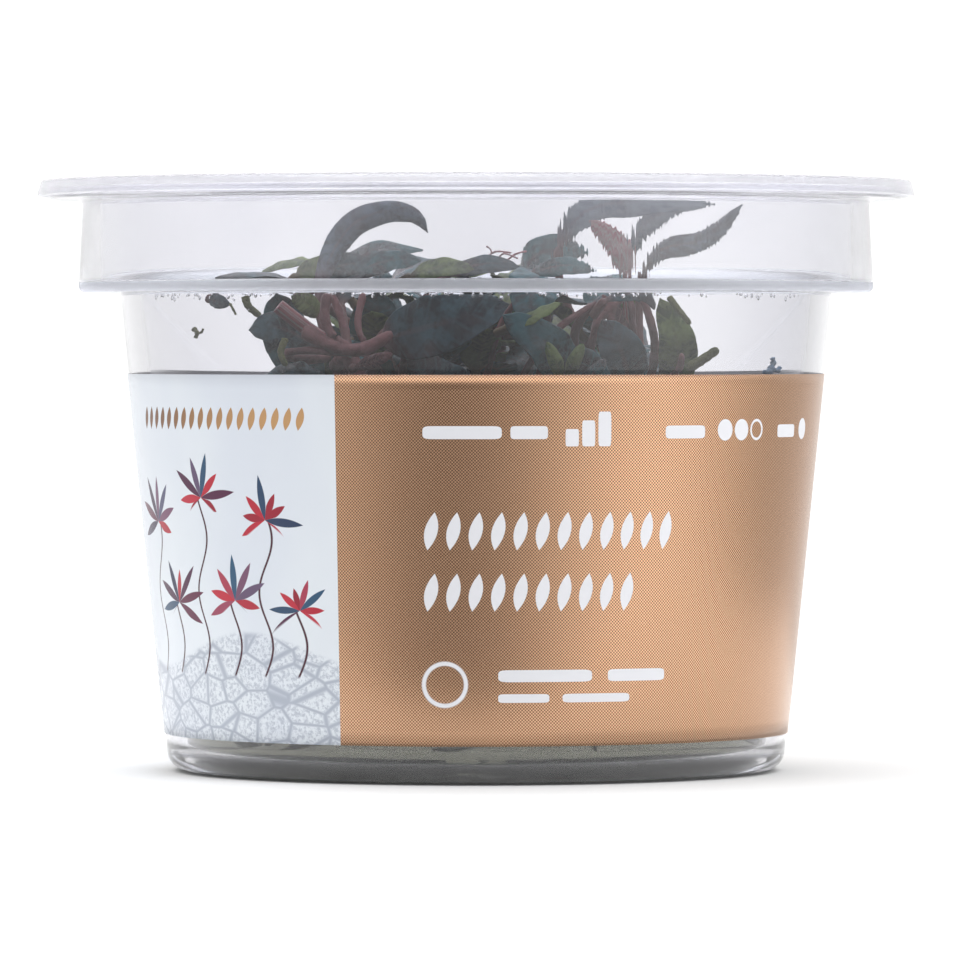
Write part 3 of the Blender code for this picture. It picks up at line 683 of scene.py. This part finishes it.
def front_leaf(number, node):
    """The plan of a front leaf, at the depth where its solid stands."""
    finish, width, stalk, thick, face, spine = FRONT_LEAVES[number]
    plan = (width, stalk, thick, face, spine)
    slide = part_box(node)[0].y / MM - corner_of(plan).y
    return finish, (width, stalk, thick, face, [(x, y + slide, z) for x, y, z in spine])


def filler_try(number, attempt, seed=FILLER_SEED):
    """One leaf that could grow on a rhizome: it arches up, out and over."""
    draw = random.Random(seed + 1000 * number + attempt)
    radius, points = RHIZOMES[number % len(RHIZOMES)]
    stem = along([Vector(point) for point in points], draw.uniform(0.45, 1.0))
    heading = draw.uniform(0, 2 * math.pi)
    out = Vector((math.cos(heading), math.sin(heading), 0))
    length = draw.uniform(19, 27)
    lean = draw.uniform(0.3, 0.75)
    droop = draw.uniform(-0.3, 0.25)
    foot = stem + out * (radius + STALK_RADIUS + 2.2 * GAP)
    middle = foot + (out * lean + Vector((0, 0, 1.1 - lean))) * length * 0.45
    tip = middle + (out * (lean + 0.2) + Vector((0, 0, 0.55 - droop - lean * 0.5))) * length * 0.6
    bend = (foot + middle) / 2 + Vector((0, 0, length * 0.07))
    width = draw.uniform(4.5, 7.5)
    stalk = draw.uniform(0.2, 0.4)
    face = Vector((0, 0, 1)) - out * 0.3
    finish = draw.choice(("leaf_dark", "leaf_teal", "leaf_teal", "leaf_olive"))
    return finish, (width, stalk, BLADE_THICK, face, [foot, bend, middle, tip])


def filler_leaf(number, node):
    """The plan of a filler leaf: the try whose solid stands where the node is."""
    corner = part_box(node)[0] / MM
    for attempt in range(FILLER_TRIES):
        finish, plan = filler_try(number, attempt)
        if (corner_of(plan) - corner).length < SAME_PLACE:
            return finish, plan
    raise ValueError(f"no leaf plan fits {node}")


def fine_leaf(plan, seed):
    """Rings and surface values of a leaf with a midrib, veins, and a wavy, ragged edge."""
    stalk = plan[1]
    draw = random.Random(seed)
    phase = draw.uniform(0, 6.3)
    waves = draw.uniform(2.0, 4.0)
    rings = []
    alongs = []
    shares = [0.995 * i / FINE_SECTIONS for i in range(FINE_SECTIONS + 1)]
    for share, (here, side, up) in zip(shares, leaf_frames(plan, shares)):
        reach, half = leaf_reach(plan, share)
        blade = 0.0 if share <= stalk else (share - stalk) / (1.0 - stalk)
        if blade:
            taper = min(1.0, (1.0 - blade) / 0.12)
            reach = max(reach * taper ** 0.6, 0.05)
            half = max(half * taper ** 0.6, 0.05)
        ease = min(1.0, blade * 6.0)
        dish = 0.12 * max(reach - 1.0, 0.0)
        ring = []
        for j in range(FINE_SIDES):
            angle = 2 * math.pi * j / FINE_SIDES
            across, lift = math.cos(angle), math.sin(angle)
            edge = across * across
            ragged = 1.0 + ease * 0.06 * noise.noise(Vector((share * 9, across * 2, seed)))
            wave = ease * edge * 0.10 * reach * math.sin(waves * math.pi * 2 * blade + phase + across)
            rib = ease * math.exp(-(across / 0.14) ** 2) * (-0.10 if lift > 0 else 0.16)
            vein = ease * 0.015 * math.sin(blade * 60 - abs(across) * 7) * (1 - edge) * abs(lift)
            thin = (1.0 - edge * 0.55 * ease) if ease else 1.0
            rise = lift * half * thin + (dish * edge) + wave
            if lift > 0:
                rise += rib + vein
            elif lift < 0:
                rise -= rib + vein
            lumps = 0.05 * noise.noise(here * 0.9 + side * across * 3)
            ring.append(here + side * (across * reach * ragged) + up * (rise + lumps))
            alongs.append((share, across))
        rings.append(ring)
    return rings, alongs, stalk


def leaf_piece(name, plan, seed):
    rings, values, stalk = fine_leaf(plan, seed)
    piece = mesh_piece(name, *loft(rings))
    mark_surface(piece, [(share - stalk) / max(1.0 - stalk, 0.001) for share, across in values],
                 [across for share, across in values])
    return piece


def mark_surface(piece, blades, acrosses):
    """Stores how far along its blade and how far across it each point lies."""
    piece.data.attributes.new("blade", "FLOAT", "POINT").data.foreach_set("value", blades)
    piece.data.attributes.new("across", "FLOAT", "POINT").data.foreach_set("value", acrosses)


def strand_rings(radius, points, sides=14, steps=30, knots=0.0, seed=0):
    """Rings of a round strand, a little thinner towards its tip, with scars if it has knots."""
    points = [Vector(point) for point in points]
    rings = []
    for i in range(steps + 1):
        share = i / steps
        here = along(points, share)
        way = (along(points, share + 0.02) - along(points, share - 0.02)).normalized()
        side = way.orthogonal().normalized()
        up = way.cross(side)
        size = radius * (1.0 - 0.25 * share) * (1.0 + knots * math.sin(share * steps * 1.1) ** 3)
        end = min(1.0, 6 * (1 - share) + 0.45, 6 * share + 0.6)
        ring = []
        for j in range(sides):
            angle = 2 * math.pi * j / sides
            rough = 1.0 + knots * noise.noise(Vector((share * 12, math.cos(angle) * 2, seed)))
            ring.append(here + (side * math.cos(angle) + up * math.sin(angle)) * size * rough * end)
        rings.append(ring)
    return rings


def mottle_group():
    """Fine mottling of living skin: cells, blotches and a little relief."""
    tree, graph, ins, outs = new_group(
        "mottle", (("Size", "Float"),),
        (("Blotch", "Float"), ("Cells", "Float"), ("Relief", "Float"), ("Drift", "Float")))
    spot = graph.place()
    scaled = graph.add("ShaderNodeVectorMath", {"operation": "SCALE"})
    graph.put(scaled.inputs[0], spot)
    graph.put(scaled.inputs["Scale"], ins.outputs["Size"])
    graph.put(outs.inputs["Blotch"], graph.noise(scaled.outputs[0], 0.35, 4.0, 0.6))
    cells = graph.add("ShaderNodeTexVoronoi", {"feature": "F1"}, Scale=3.0)
    graph.put(cells.inputs["Vector"], scaled.outputs[0])
    graph.put(outs.inputs["Cells"], cells.outputs["Distance"])
    graph.put(outs.inputs["Relief"], graph.noise(scaled.outputs[0], 0.8, 1.0, 0.4))
    graph.put(outs.inputs["Drift"], graph.noise(scaled.outputs[0], 0.13, 2.0, 0.5))
    return tree


def leaf_material(name, mottle, dark, light, stalk, rough, stripes=0.0):
    """Leaf skin: stalk colour running into the blade, pale midrib, veins and mottling."""
    material, graph, shader, surface = new_material(name)
    skin = use_group(graph, mottle, Size=1.0)
    blade = graph.attribute("blade")
    across = graph.math("ABSOLUTE", graph.attribute("across"))
    blotch = graph.step(skin.outputs["Blotch"], 0.38, 0.64)
    colour = graph.mix(blotch, dark, light)
    speck = graph.math("MULTIPLY", graph.step(skin.outputs["Cells"], 0.3, 0.08), 0.4)
    colour = graph.mix(speck, colour, light)
    drift = graph.step(skin.outputs["Drift"], 0.45, 0.7)
    colour = graph.mix(graph.math("MULTIPLY", drift, 0.45 * (1.0 - stripes)), colour, DRIFT_TONE)
    ribs = graph.math("SINE", graph.math("SUBTRACT", graph.math("MULTIPLY", blade, 60.0),
                                         graph.math("MULTIPLY", across, 7.0)))
    colour = graph.mix(graph.math("MULTIPLY", graph.step(ribs, 0.6, 1.0), 0.25), colour, light)
    rib = graph.math("SUBTRACT", 1.0, graph.step(across, 0.03, 0.16))
    rib = graph.math("MULTIPLY", rib, graph.math("SUBTRACT", 1.0, graph.step(blade, 0.3, 0.9)))
    red = graph.math("SUBTRACT", 1.0, graph.step(blade, -0.05, 0.22))
    red = graph.math("MAXIMUM", red, graph.math("MULTIPLY", rib, 0.25))
    colour = graph.mix(red, colour, stalk)
    if stripes:
        stripe = graph.step(graph.math("SINE", graph.math("MULTIPLY", across, 11.0)), 0.2, 0.9)
        colour = graph.mix(graph.math("MULTIPLY", stripe, stripes), colour, tone(248, 232, 228))
    graph.put(shader.inputs["Base Color"], colour)
    graph.put(shader.inputs["Roughness"], graph.math("ADD", graph.math("MULTIPLY", blotch, 0.15), rough))
    shader.inputs["Specular IOR Level"].default_value = 0.4
    height = graph.math("ADD", skin.outputs["Relief"], graph.math("MULTIPLY", ribs, 0.09))
    graph.put(shader.inputs["Normal"], graph.bump(height, 0.5, 0.0002))
    return material


def strand_material(name, mottle, dark, light, rough):
    material, graph, shader, surface = new_material(name)
    skin = use_group(graph, mottle, Size=1.6)
    colour = graph.mix(graph.step(skin.outputs["Blotch"], 0.35, 0.65), dark, light)
    graph.put(shader.inputs["Base Color"], colour)
    graph.put(shader.inputs["Roughness"], graph.math("ADD", graph.math("MULTIPLY", skin.outputs["Cells"], 0.2), rough))
    graph.put(shader.inputs["Normal"], graph.bump(skin.outputs["Cells"], 0.5, 0.0002))
    return material


def gel_material():
    material, graph, shader, surface = new_material("nutrient_gel")
    cloud = graph.noise(graph.place((0.15, 0.15, 0.9)), 1.0, 3.0, 0.6)
    colour = graph.mix(graph.step(cloud, 0.35, 0.7), tone(206, 207, 192), tone(228, 228, 218))
    graph.put(shader.inputs["Base Color"], colour)
    shader.inputs["Roughness"].default_value = 0.04
    shader.inputs["Transmission Weight"].default_value = 0.97
    shader.inputs["IOR"].default_value = 1.1
    graph.put(shader.inputs["Normal"], graph.bump(cloud, 0.15, 0.0005))
    let_lamps_through(graph, shader, surface, tone(220, 222, 208))
    haze = graph.add("ShaderNodeVolumeAbsorption", Color=(0.38, 0.38, 0.30, 1), Density=36.0)
    graph.put(surface.inputs["Volume"], haze.outputs[0])
    return material


def mark_group(name, shape):
    """A printed mark: 1 inside it and 0 outside. shape turns the two distances into one."""
    tree, graph, ins, outs = new_group(
        name, (("Across", "Float"), ("Up", "Float"), ("Middle Across", "Float"),
               ("Middle Up", "Float"), ("Half Width", "Float"), ("Half Height", "Float")),
        (("Mask", "Float"),))
    du = graph.math("DIVIDE", graph.math(
        "SUBTRACT", ins.outputs["Across"], ins.outputs["Middle Across"]), ins.outputs["Half Width"])
    dv = graph.math("DIVIDE", graph.math(
        "SUBTRACT", ins.outputs["Up"], ins.outputs["Middle Up"]), ins.outputs["Half Height"])
    graph.put(outs.inputs["Mask"], graph.step(shape(graph, du, dv), 1.04, 0.96))
    return tree


def oval(graph, du, dv):
    return graph.math("SQRT", graph.math("ADD", graph.math("MULTIPLY", du, du),
                                         graph.math("MULTIPLY", dv, dv)))


def bar(graph, du, dv):
    return graph.math("ADD", graph.math("POWER", graph.math("ABSOLUTE", du), 14.0),
                      graph.math("POWER", graph.math("ABSOLUTE", dv), 4.0))


def pointed(graph, du, dv):
    """A leaning leaf with a point at both ends."""
    leaning = graph.math("SUBTRACT", du, graph.math("MULTIPLY", dv, 0.55))
    return graph.math("ADD", graph.math("ABSOLUTE", leaning), graph.math("MULTIPLY", dv, dv))


def fan_group():
    """Leaves fanned out round a point: a mask, and a value that differs from leaf to leaf."""
    tree, graph, ins, outs = new_group(
        "leaf_fan", (("Across", "Float"), ("Up", "Float"), ("Middle Across", "Float"),
                     ("Middle Up", "Float"), ("Length", "Float"), ("Turn", "Float")),
        (("Mask", "Float"), ("Leaf", "Float")))
    du = graph.math("SUBTRACT", ins.outputs["Across"], ins.outputs["Middle Across"])
    dv = graph.math("SUBTRACT", ins.outputs["Up"], ins.outputs["Middle Up"])
    far = graph.math("DIVIDE", oval(graph, du, dv), ins.outputs["Length"])
    angle = graph.math("ADD", graph.math("ARCTAN2", du, dv), ins.outputs["Turn"])
    slot = graph.math("DIVIDE", angle, 0.62)
    number = graph.math("FLOOR", slot)
    aside = graph.math("MULTIPLY", graph.math("SUBTRACT", graph.math(
        "SUBTRACT", slot, number), 0.5), 0.62)
    draw = graph.add("ShaderNodeTexWhiteNoise", {"noise_dimensions": "2D"})
    both = graph.add("ShaderNodeCombineXYZ", X=number, Y=ins.outputs["Middle Across"])
    graph.put(draw.inputs["Vector"], both.outputs[0])
    leaf = draw.outputs["Value"]
    reach = graph.math("DIVIDE", far, graph.math("ADD", graph.math("MULTIPLY", leaf, 0.5), 0.55))
    along_leaf = graph.math("SUBTRACT", graph.math("MULTIPLY", reach, 2.0), 1.0)
    width = graph.math("DIVIDE", graph.math("MULTIPLY", graph.math("ABSOLUTE", aside), far), 0.085)
    shape = graph.math("ADD", width, graph.math("MULTIPLY", along_leaf, along_leaf))
    upright = graph.step(graph.math("ABSOLUTE", graph.math("ARCTAN2", du, dv)), 2.2, 2.1)
    graph.put(outs.inputs["Mask"], graph.math("MULTIPLY", graph.step(shape, 1.08, 0.92), upright))
    graph.put(outs.inputs["Leaf"], leaf)
    return tree


def label_material():
    """The printed film: a pale panel with drawn leaves, and a copper panel in a fine screen."""
    material, graph, shader, surface = new_material("label_print")
    turn, arc, height = round_place(graph)
    marks = {"oval": mark_group("oval_mark", oval), "bar": mark_group("bar_mark", bar),
             "leaf": mark_group("leaf_mark", pointed)}
    slanted = graph.math("ADD", arc, graph.math("MULTIPLY", height, PANEL_SLANT))
    pale = graph.math("MULTIPLY", graph.step(slanted, PANEL_EDGE + 0.02, PANEL_EDGE - 0.02),
                      graph.step(arc, PANEL_END - 0.02, PANEL_END + 0.02))
    first = graph.math("SINE", graph.math("MULTIPLY", arc, SCREEN))
    second = graph.math("SINE", graph.math("MULTIPLY", height, SCREEN))
    screen = graph.step(graph.math("MULTIPLY", first, second), -0.45, 0.45)
    copper = graph.mix(screen, COPPER_DARK, COPPER_LIGHT)
    white = None
    for kind, across, up, half_width, half_height in PRINT_MARKS:
        mark = use_group(graph, marks[kind], Across=arc, Up=height, Middle_Across=across,
                         Middle_Up=up, Half_Width=half_width, Half_Height=half_height).outputs[0]
        white = mark if white is None else graph.math("MAXIMUM", white, mark)
    for kind, across, up, half_width, half_height in PRINT_HOLES:
        mark = use_group(graph, marks[kind], Across=arc, Up=height, Middle_Across=across,
                         Middle_Up=up, Half_Width=half_width, Half_Height=half_height).outputs[0]
        white = graph.math("MULTIPLY", white, graph.math("SUBTRACT", 1.0, mark))
    for start, end, pitch, up, half_width, half_height in PRINT_ROWS:
        inside = graph.math("MULTIPLY", graph.step(arc, start - 0.01, start + 0.01),
                            graph.step(arc, end + 0.01, end - 0.01))
        place = graph.math("MODULO", graph.math("SUBTRACT", arc, start), pitch)
        mark = use_group(graph, marks["leaf"], Across=place, Up=height, Middle_Across=pitch / 2,
                         Middle_Up=up, Half_Width=half_width, Half_Height=half_height).outputs[0]
        mark = graph.math("MULTIPLY", inside, mark)
        if end < PANEL_EDGE:
            gold = mark
        else:
            white = graph.math("MAXIMUM", white, mark)
    colour = graph.mix(white, copper, tone(232, 233, 238))
    wash = graph.noise(graph.place((0.06, 0.06, 0.03)), 1.0, 2.0, 0.5)
    paper = graph.mix(graph.step(wash, 0.4, 0.7), tone(231, 237, 243), tone(224, 230, 239))
    paper = drawn_panel(graph, paper, arc, height)
    fade = graph.mix(graph.step(arc, -50, -24), tone(122, 84, 60), tone(196, 152, 104))
    paper = graph.mix(gold, paper, fade)
    graph.put(shader.inputs["Base Color"], graph.mix(pale, colour, paper))
    ink = graph.math("MULTIPLY", graph.math("SUBTRACT", 1.0, pale), graph.math("SUBTRACT", 1.0, white))
    graph.put(shader.inputs["Metallic"], graph.math("MULTIPLY", ink, 0.85))
    shader.inputs["Roughness"].default_value = 0.24
    return material


def paper_material():
    """The label's plain white back, seen from inside the cup."""
    material, graph, shader, surface = new_material("label_back")
    fibre = graph.noise(graph.place((0.4, 0.4, 0.4)), 1.0, 3.0, 0.6)
    graph.put(shader.inputs["Base Color"], graph.mix(fibre, tone(214, 213, 210), tone(232, 231, 229)))
    shader.inputs["Roughness"].default_value = 0.7
    return material


def drawn_panel(graph, paper, arc, height):
    """The pale panel's drawing: fans of leaves in crimson, teal and navy over pencilled pebbles."""
    fan = fan_group()
    pencil = graph.noise(graph.place(), 2.2, 3.0, 0.7)
    pebbles = graph.add("ShaderNodeTexVoronoi", {"feature": "DISTANCE_TO_EDGE"}, Scale=0.22)
    spot = graph.add("ShaderNodeCombineXYZ", X=arc, Y=graph.math("MULTIPLY", height, 1.6))
    graph.put(pebbles.inputs["Vector"], spot.outputs[0])
    hills = graph.math("ADD", graph.math("MULTIPLY", graph.math("SINE", graph.math(
        "MULTIPLY", arc, 0.16)), 2.2), 15.0)
    ground = graph.step(graph.math("SUBTRACT", hills, height), -0.4, 0.4)
    line = graph.step(pebbles.outputs["Distance"], 0.10, 0.01)
    shade = graph.math("MULTIPLY", graph.step(pencil, 0.42, 0.62), 0.42)
    drawn = graph.math("MAXIMUM", graph.math("MULTIPLY", line, 0.55), shade)
    paper = graph.mix(graph.math("MULTIPLY", ground, drawn), paper, tone(110, 122, 148))
    for across, up, length, twist in PANEL_FANS:
        leaf = use_group(graph, fan, Across=arc, Up=height, Middle_Across=across,
                         Middle_Up=up, Length=length, Turn=twist)
        ink = graph.ramp(leaf.outputs["Leaf"], (
            (0.0, tone(150, 24, 48)), (0.35, tone(196, 40, 60)), (0.6, tone(44, 86, 118)),
            (0.8, tone(40, 36, 72)), (1.0, tone(112, 30, 62))))
        stem = graph.math("MULTIPLY", graph.step(graph.math("ABSOLUTE", graph.math(
            "SUBTRACT", arc, graph.math("ADD", graph.math("SINE", graph.math(
                "MULTIPLY", height, 0.5)), across))), 0.22, 0.10), graph.math(
                    "MULTIPLY", graph.step(height, up, up - 0.2), graph.step(height, 12.0, 12.4)))
        paper = graph.mix(stem, paper, tone(70, 26, 44))
        paper = graph.mix(leaf.outputs["Mask"], paper, ink)
    return paper


def make_plants(materials):
    for number in range(len(FRONT_LEAVES) + FILLER_COUNT):
        node = f"leaf_{number + 1:02d}"
        if number < len(FRONT_LEAVES):
            finish, plan = front_leaf(number, node)
        else:
            finish, plan = filler_leaf(number - len(FRONT_LEAVES), node)
        piece = leaf_piece(f"fine_{node}", plan, number)
        skin = PALE_LEAVES.get(number, finish)
        settle(piece, materials[skin], finish, node)
    for number, (radius, points) in enumerate(RHIZOMES):
        piece = mesh_piece(
            f"fine_rhizome_{number + 1}", *loft(strand_rings(radius, points, knots=0.12, seed=number)))
        settle(piece, materials["rhizome"], "rhizome", f"rhizome_{number + 1}")
    for number, (radius, points) in enumerate(ROOTS):
        piece = mesh_piece(
            f"fine_root_{number + 1}", *loft(strand_rings(radius, points, knots=0.06, seed=number)))
        settle(piece, materials["root"], "root", f"root_{number + 1}")


def small_leaf(number):
    """A small leaf low in the tangle: it springs from a stem and arches outward."""
    draw = random.Random(77 + number)
    heading = draw.uniform(0, 2 * math.pi)
    out = Vector((math.cos(heading), math.sin(heading), 0))
    foot = Vector((1.5, -1.5, 0)) + Vector((
        draw.uniform(-19, 20), draw.uniform(-15, 15), draw.uniform(42, 53)))
    length = draw.uniform(9, 15)
    lean = draw.uniform(0.2, 0.8)
    middle = foot + (out * lean + Vector((0, 0, 1.0 - 0.5 * lean))) * length * 0.5
    tip = middle + (out * (lean + 0.3) + Vector((0, 0, draw.uniform(-0.1, 0.6)))) * length * 0.5
    face = Vector((0, 0, 1)) - out * draw.uniform(0.2, 1.5)
    plan = (draw.uniform(3.0, 6.2), draw.uniform(0.15, 0.4), 0.6, face, [foot, middle, tip])
    fits = all(
        point.z < SMALL_TOP and math.hypot(point.x, point.y) < SMALL_RADIUS
        for ring in plain_leaf(plan) for point in ring)
    return draw.choice(("leaf_dark", "leaf_dark", "leaf_teal", "leaf_teal", "leaf_olive")), plan, fits


def make_small_leaves(materials):
    """Many small leaves between the large ones, joined by finish."""
    grown = {}
    count = number = 0
    while count < SMALL_COUNT:
        finish, plan, fits = small_leaf(number)
        number += 1
        if fits:
            grown.setdefault(finish, []).append((plan, number))
            count += 1
    for finish, plans in grown.items():
        points, faces, blades, acrosses = [], [], [], []
        for plan, seed in plans:
            rings, values, stalk = fine_leaf(plan, seed)
            leaf_points, leaf_faces = loft(rings)
            faces.extend(tuple(i + len(points) for i in face) for face in leaf_faces)
            points.extend(leaf_points)
            blades.extend((share - stalk) / max(1.0 - stalk, 0.001) for share, across in values)
            acrosses.extend(across for share, across in values)
        piece = mesh_piece(f"small_{finish}", points, faces)
        mark_surface(piece, blades, acrosses)
        settle(piece, materials[finish], finish)


def make_extras(materials):
    """Stalks round the crowns, roots in the gel, drops under the ledge, and bits on the wall."""
    points, faces = joined(
        strand_rings(radius, line, 10, 18, 0.08, number) for number, (radius, line) in enumerate(STALKS))
    piece = mesh_piece("extra_stalks", points, faces)
    mark_surface(piece, [0.4] * len(points), [0.5] * len(points))
    settle(piece, materials["stem_brown"], "stalk_red")
    for name, lines, finish in (("wall_bits", WALL_BITS, "root"), ("fluff", FLUFF, "stalk_red")):
        piece = mesh_piece(name, *joined(
            strand_rings(radius, line, 10, 14, 0.2, number) for number, (radius, line) in enumerate(lines)))
        mark_surface(piece, [0.4] * len(piece.data.vertices), [0.5] * len(piece.data.vertices))
        settle(piece, materials[finish], finish)
    piece = mesh_piece("blue_bits", *joined(
        strand_rings(radius, line, 10, 14, 0.3, number) for number, (radius, line) in enumerate(BLUE_BITS)))
    settle(piece, strand_material("blue_bits", mottle_group(), tone(116, 184, 242), tone(190, 226, 255), 0.5), "root")
    for number, (finish, width, stalk, thick, face, spine) in enumerate(SPRIGS):
        piece = leaf_piece(f"sprig_{number + 1}", (width, stalk, thick, face, spine), 500 + number)
        settle(piece, materials[finish], "stalk_red" if finish == "stem_brown" else finish)
    draw = random.Random(31)
    rings = []
    for number in range(GEL_ROOTS):
        turn = draw.uniform(0, 2 * math.pi)
        reach = draw.uniform(2, 24)
        line = [Vector((reach * math.cos(turn), reach * math.sin(turn), GEL_TOP - 0.8))]
        for i in range(5):
            turn += draw.uniform(-0.9, 0.9)
            step = Vector((math.cos(turn), math.sin(turn), 0)) * draw.uniform(3, 7)
            spot = line[-1] + step
            spot.z = max(3.4, line[-1].z - draw.uniform(0.6, 2.8))
            if math.hypot(spot.x, spot.y) > 29:
                spot *= 27 / math.hypot(spot.x, spot.y)
                spot.z = line[-1].z
            line.append(spot)
        rings.append(strand_rings(draw.uniform(0.3, 0.6), line, 7, 20, 0.1, number))
    settle(mesh_piece("gel_roots", *joined(rings)), materials["root"], "root")
    settle(mesh_piece("drops", *joined(drop_rings())), water_material(), "clear_plastic")


def joined(lofts):
    points, faces = [], []
    for rings in lofts:
        more_points, more_faces = loft(rings)
        faces.extend(tuple(i + len(points) for i in face) for face in more_faces)
        points.extend(more_points)
    return points, faces


def drop_rings():
    """Small flattened drops on the inside of the wall, close under the ledge."""
    draw = random.Random(9)
    for number in range(DROP_COUNT):
        turn = draw.uniform(-1.15, 1.15) - math.pi / 2
        height = 57.15 - abs(draw.gauss(0, 0.28))
        size = draw.uniform(0.10, 0.26)
        out = Vector((math.cos(turn), math.sin(turn), 0))
        aside = Vector((-out.y, out.x, 0))
        centre = out * (inner_radius(height) - 0.02) + Vector((0, 0, height))
        rings = []
        for share, wide in ((0.0, 1.0), (0.35, 0.85), (0.7, 0.5), (0.95, 0.08)):
            rings.append([
                centre - out * size * 0.5 * share + aside * size * wide * math.cos(angle)
                + Vector((0, 0, size * wide * 1.2 * math.sin(angle)))
                for angle in (2 * math.pi * j / 10 for j in range(10))])
        yield rings


def water_material():
    material, graph, shader, surface = new_material("water")
    swirl = graph.noise(graph.place(), 1.5, 2.0, 0.5)
    graph.put(shader.inputs["Base Color"], graph.mix(swirl, tone(236, 240, 246), tone(250, 251, 253)))
    shader.inputs["Roughness"].default_value = 0.02
    shader.inputs["Transmission Weight"].default_value = 1.0
    shader.inputs["IOR"].default_value = 1.33
    let_lamps_through(graph, shader, surface, tone(250, 251, 253))
    return material


def make_camera():
    camera = bpy.data.cameras.new("view")
    camera.sensor_width = SENSOR
    camera.lens = SENSOR * FOCAL_PIXELS / IMAGE_HEIGHT
    camera.clip_start = 0.05
    camera.clip_end = 50
    rig = bpy.data.objects.new("view", camera)
    bpy.context.collection.objects.link(rig)
    rig.location = (
        (IMAGE_WIDTH / 2 - AXIS_COLUMN) * PIXEL * MM, -FOCAL_PIXELS * PIXEL * MM, EYE_HEIGHT * MM)
    tilt = math.atan((IMAGE_HEIGHT / 2 - EYE_ROW) / FOCAL_PIXELS)
    rig.rotation_euler = (math.pi / 2 - tilt, 0, 0)
    bpy.context.scene.camera = rig


def make_floor():
    mesh = bpy.data.meshes.new("floor")
    side, front, back = 0.16, -0.075, 0.16
    mesh.from_pydata(
        [(-side, front, 0), (side, front, 0), (side, back, 0), (-side, back, 0)], [], [(0, 1, 2, 3)])
    floor = bpy.data.objects.new("floor", mesh)
    bpy.context.collection.objects.link(floor)
    floor.location.z = -0.0002
    material, graph, shader, surface = new_material("pale_floor")
    grain = graph.noise(graph.place(), 0.02, 2.0, 0.5)
    graph.put(shader.inputs["Base Color"], graph.mix(grain, tone(250, 250, 250), tone(253, 253, 253)))
    shader.inputs["Roughness"].default_value = 0.9
    shader.inputs["Specular IOR Level"].default_value = 0.1
    floor.data.materials.append(material)


def make_light():
    """A soft white studio: pale all round, dark behind the camera, bright to the right."""
    scene = bpy.context.scene
    scene.view_settings.view_transform = "Standard"
    scene.cycles.max_bounces = 40
    scene.cycles.transmission_bounces = 40
    scene.cycles.glossy_bounces = 12
    scene.cycles.transparent_max_bounces = 24
    scene.cycles.caustics_refractive = False
    scene.cycles.caustics_reflective = False
    world = bpy.data.worlds.new("studio")
    scene.world = world
    world.use_nodes = True
    graph = Graph(world.node_tree)
    parts = graph.add("ShaderNodeSeparateXYZ")
    graph.put(parts.inputs[0], graph.add("ShaderNodeTexCoord").outputs["Generated"])
    x, y, z = parts.outputs
    heading = graph.math("ARCTAN2", x, graph.math("MULTIPLY", y, -1.0))
    turn = graph.math("ADD", graph.math("DIVIDE", heading, 2 * math.pi), 0.5)
    walls = graph.ramp(turn, [
        (0.5 + degrees / 360, (level, level, level * tint, 1)) for degrees, level, tint in LIGHT_ROUND])
    walls.node.color_ramp.interpolation = "B_SPLINE"
    up = graph.step(z, 0.35, 0.95)
    sky = graph.mix(up, walls, (1.0, 1.0, 1.0, 1))
    sky = graph.mix(graph.step(z, -0.2, -0.5), sky, (0.55, 0.55, 0.55, 1))
    back = graph.add("ShaderNodeBackground", Color=sky, Strength=LIGHT_STRENGTH)
    out = graph.add("ShaderNodeOutputWorld")
    graph.put(out.inputs["Surface"], back.outputs[0])


def make_materials():
    moulding = moulding_group()
    mottle = mottle_group()
    stem = tone(150, 108, 106)
    leaves = (
        ("leaf_dark", tone(6, 22, 32), tone(88, 122, 132), stem, 0.28, 0.0),
        ("leaf_teal", tone(4, 28, 38), tone(70, 130, 138), stem, 0.27, 0.0),
        ("leaf_olive", tone(58, 84, 38), tone(160, 182, 112), tone(134, 114, 80), 0.34, 0.0),
        ("stalk_red", tone(240, 128, 142), tone(255, 206, 208), tone(224, 146, 150), 0.4, 0.7),
        ("leaf_pale", tone(34, 50, 66), tone(122, 142, 160), stem, 0.45, 0.0),
        ("leaf_palest", tone(132, 146, 164), tone(186, 198, 212), stem, 0.45, 0.0),
        ("stem_brown", tone(104, 62, 66), tone(198, 140, 140), tone(150, 108, 106), 0.38, 0.0))
    made = {leaf[0]: leaf_material(leaf[0], mottle, *leaf[1:]) for leaf in leaves}
    return {
        **made,
        "clear_plastic": clear_plastic(
            "cup_plastic", moulding, tone(240, 240, 243), tone(236, 236, 240), 0.012, 0.10, 0.18),
        "lid_plastic": clear_plastic(
            "lid_plastic", moulding, tone(240, 240, 245), tone(236, 236, 243), 0.24, 0.0, 0.03),
        "gel": gel_material(),
        "label_print": label_material(),
        "rhizome": strand_material("rhizome", mottle, tone(100, 64, 60), tone(182, 130, 122), 0.42),
        "root": strand_material("root", mottle, tone(104, 112, 62), tone(150, 152, 96), 0.5),
    }


make_camera()
make_light()
make_floor()
materials = make_materials()
make_cup(materials["clear_plastic"])
make_lid(materials["lid_plastic"])
make_label(materials["label_print"], paper_material())
make_gel(materials["gel"])
make_plants(materials)
make_small_leaves(materials)
make_extras(materials)
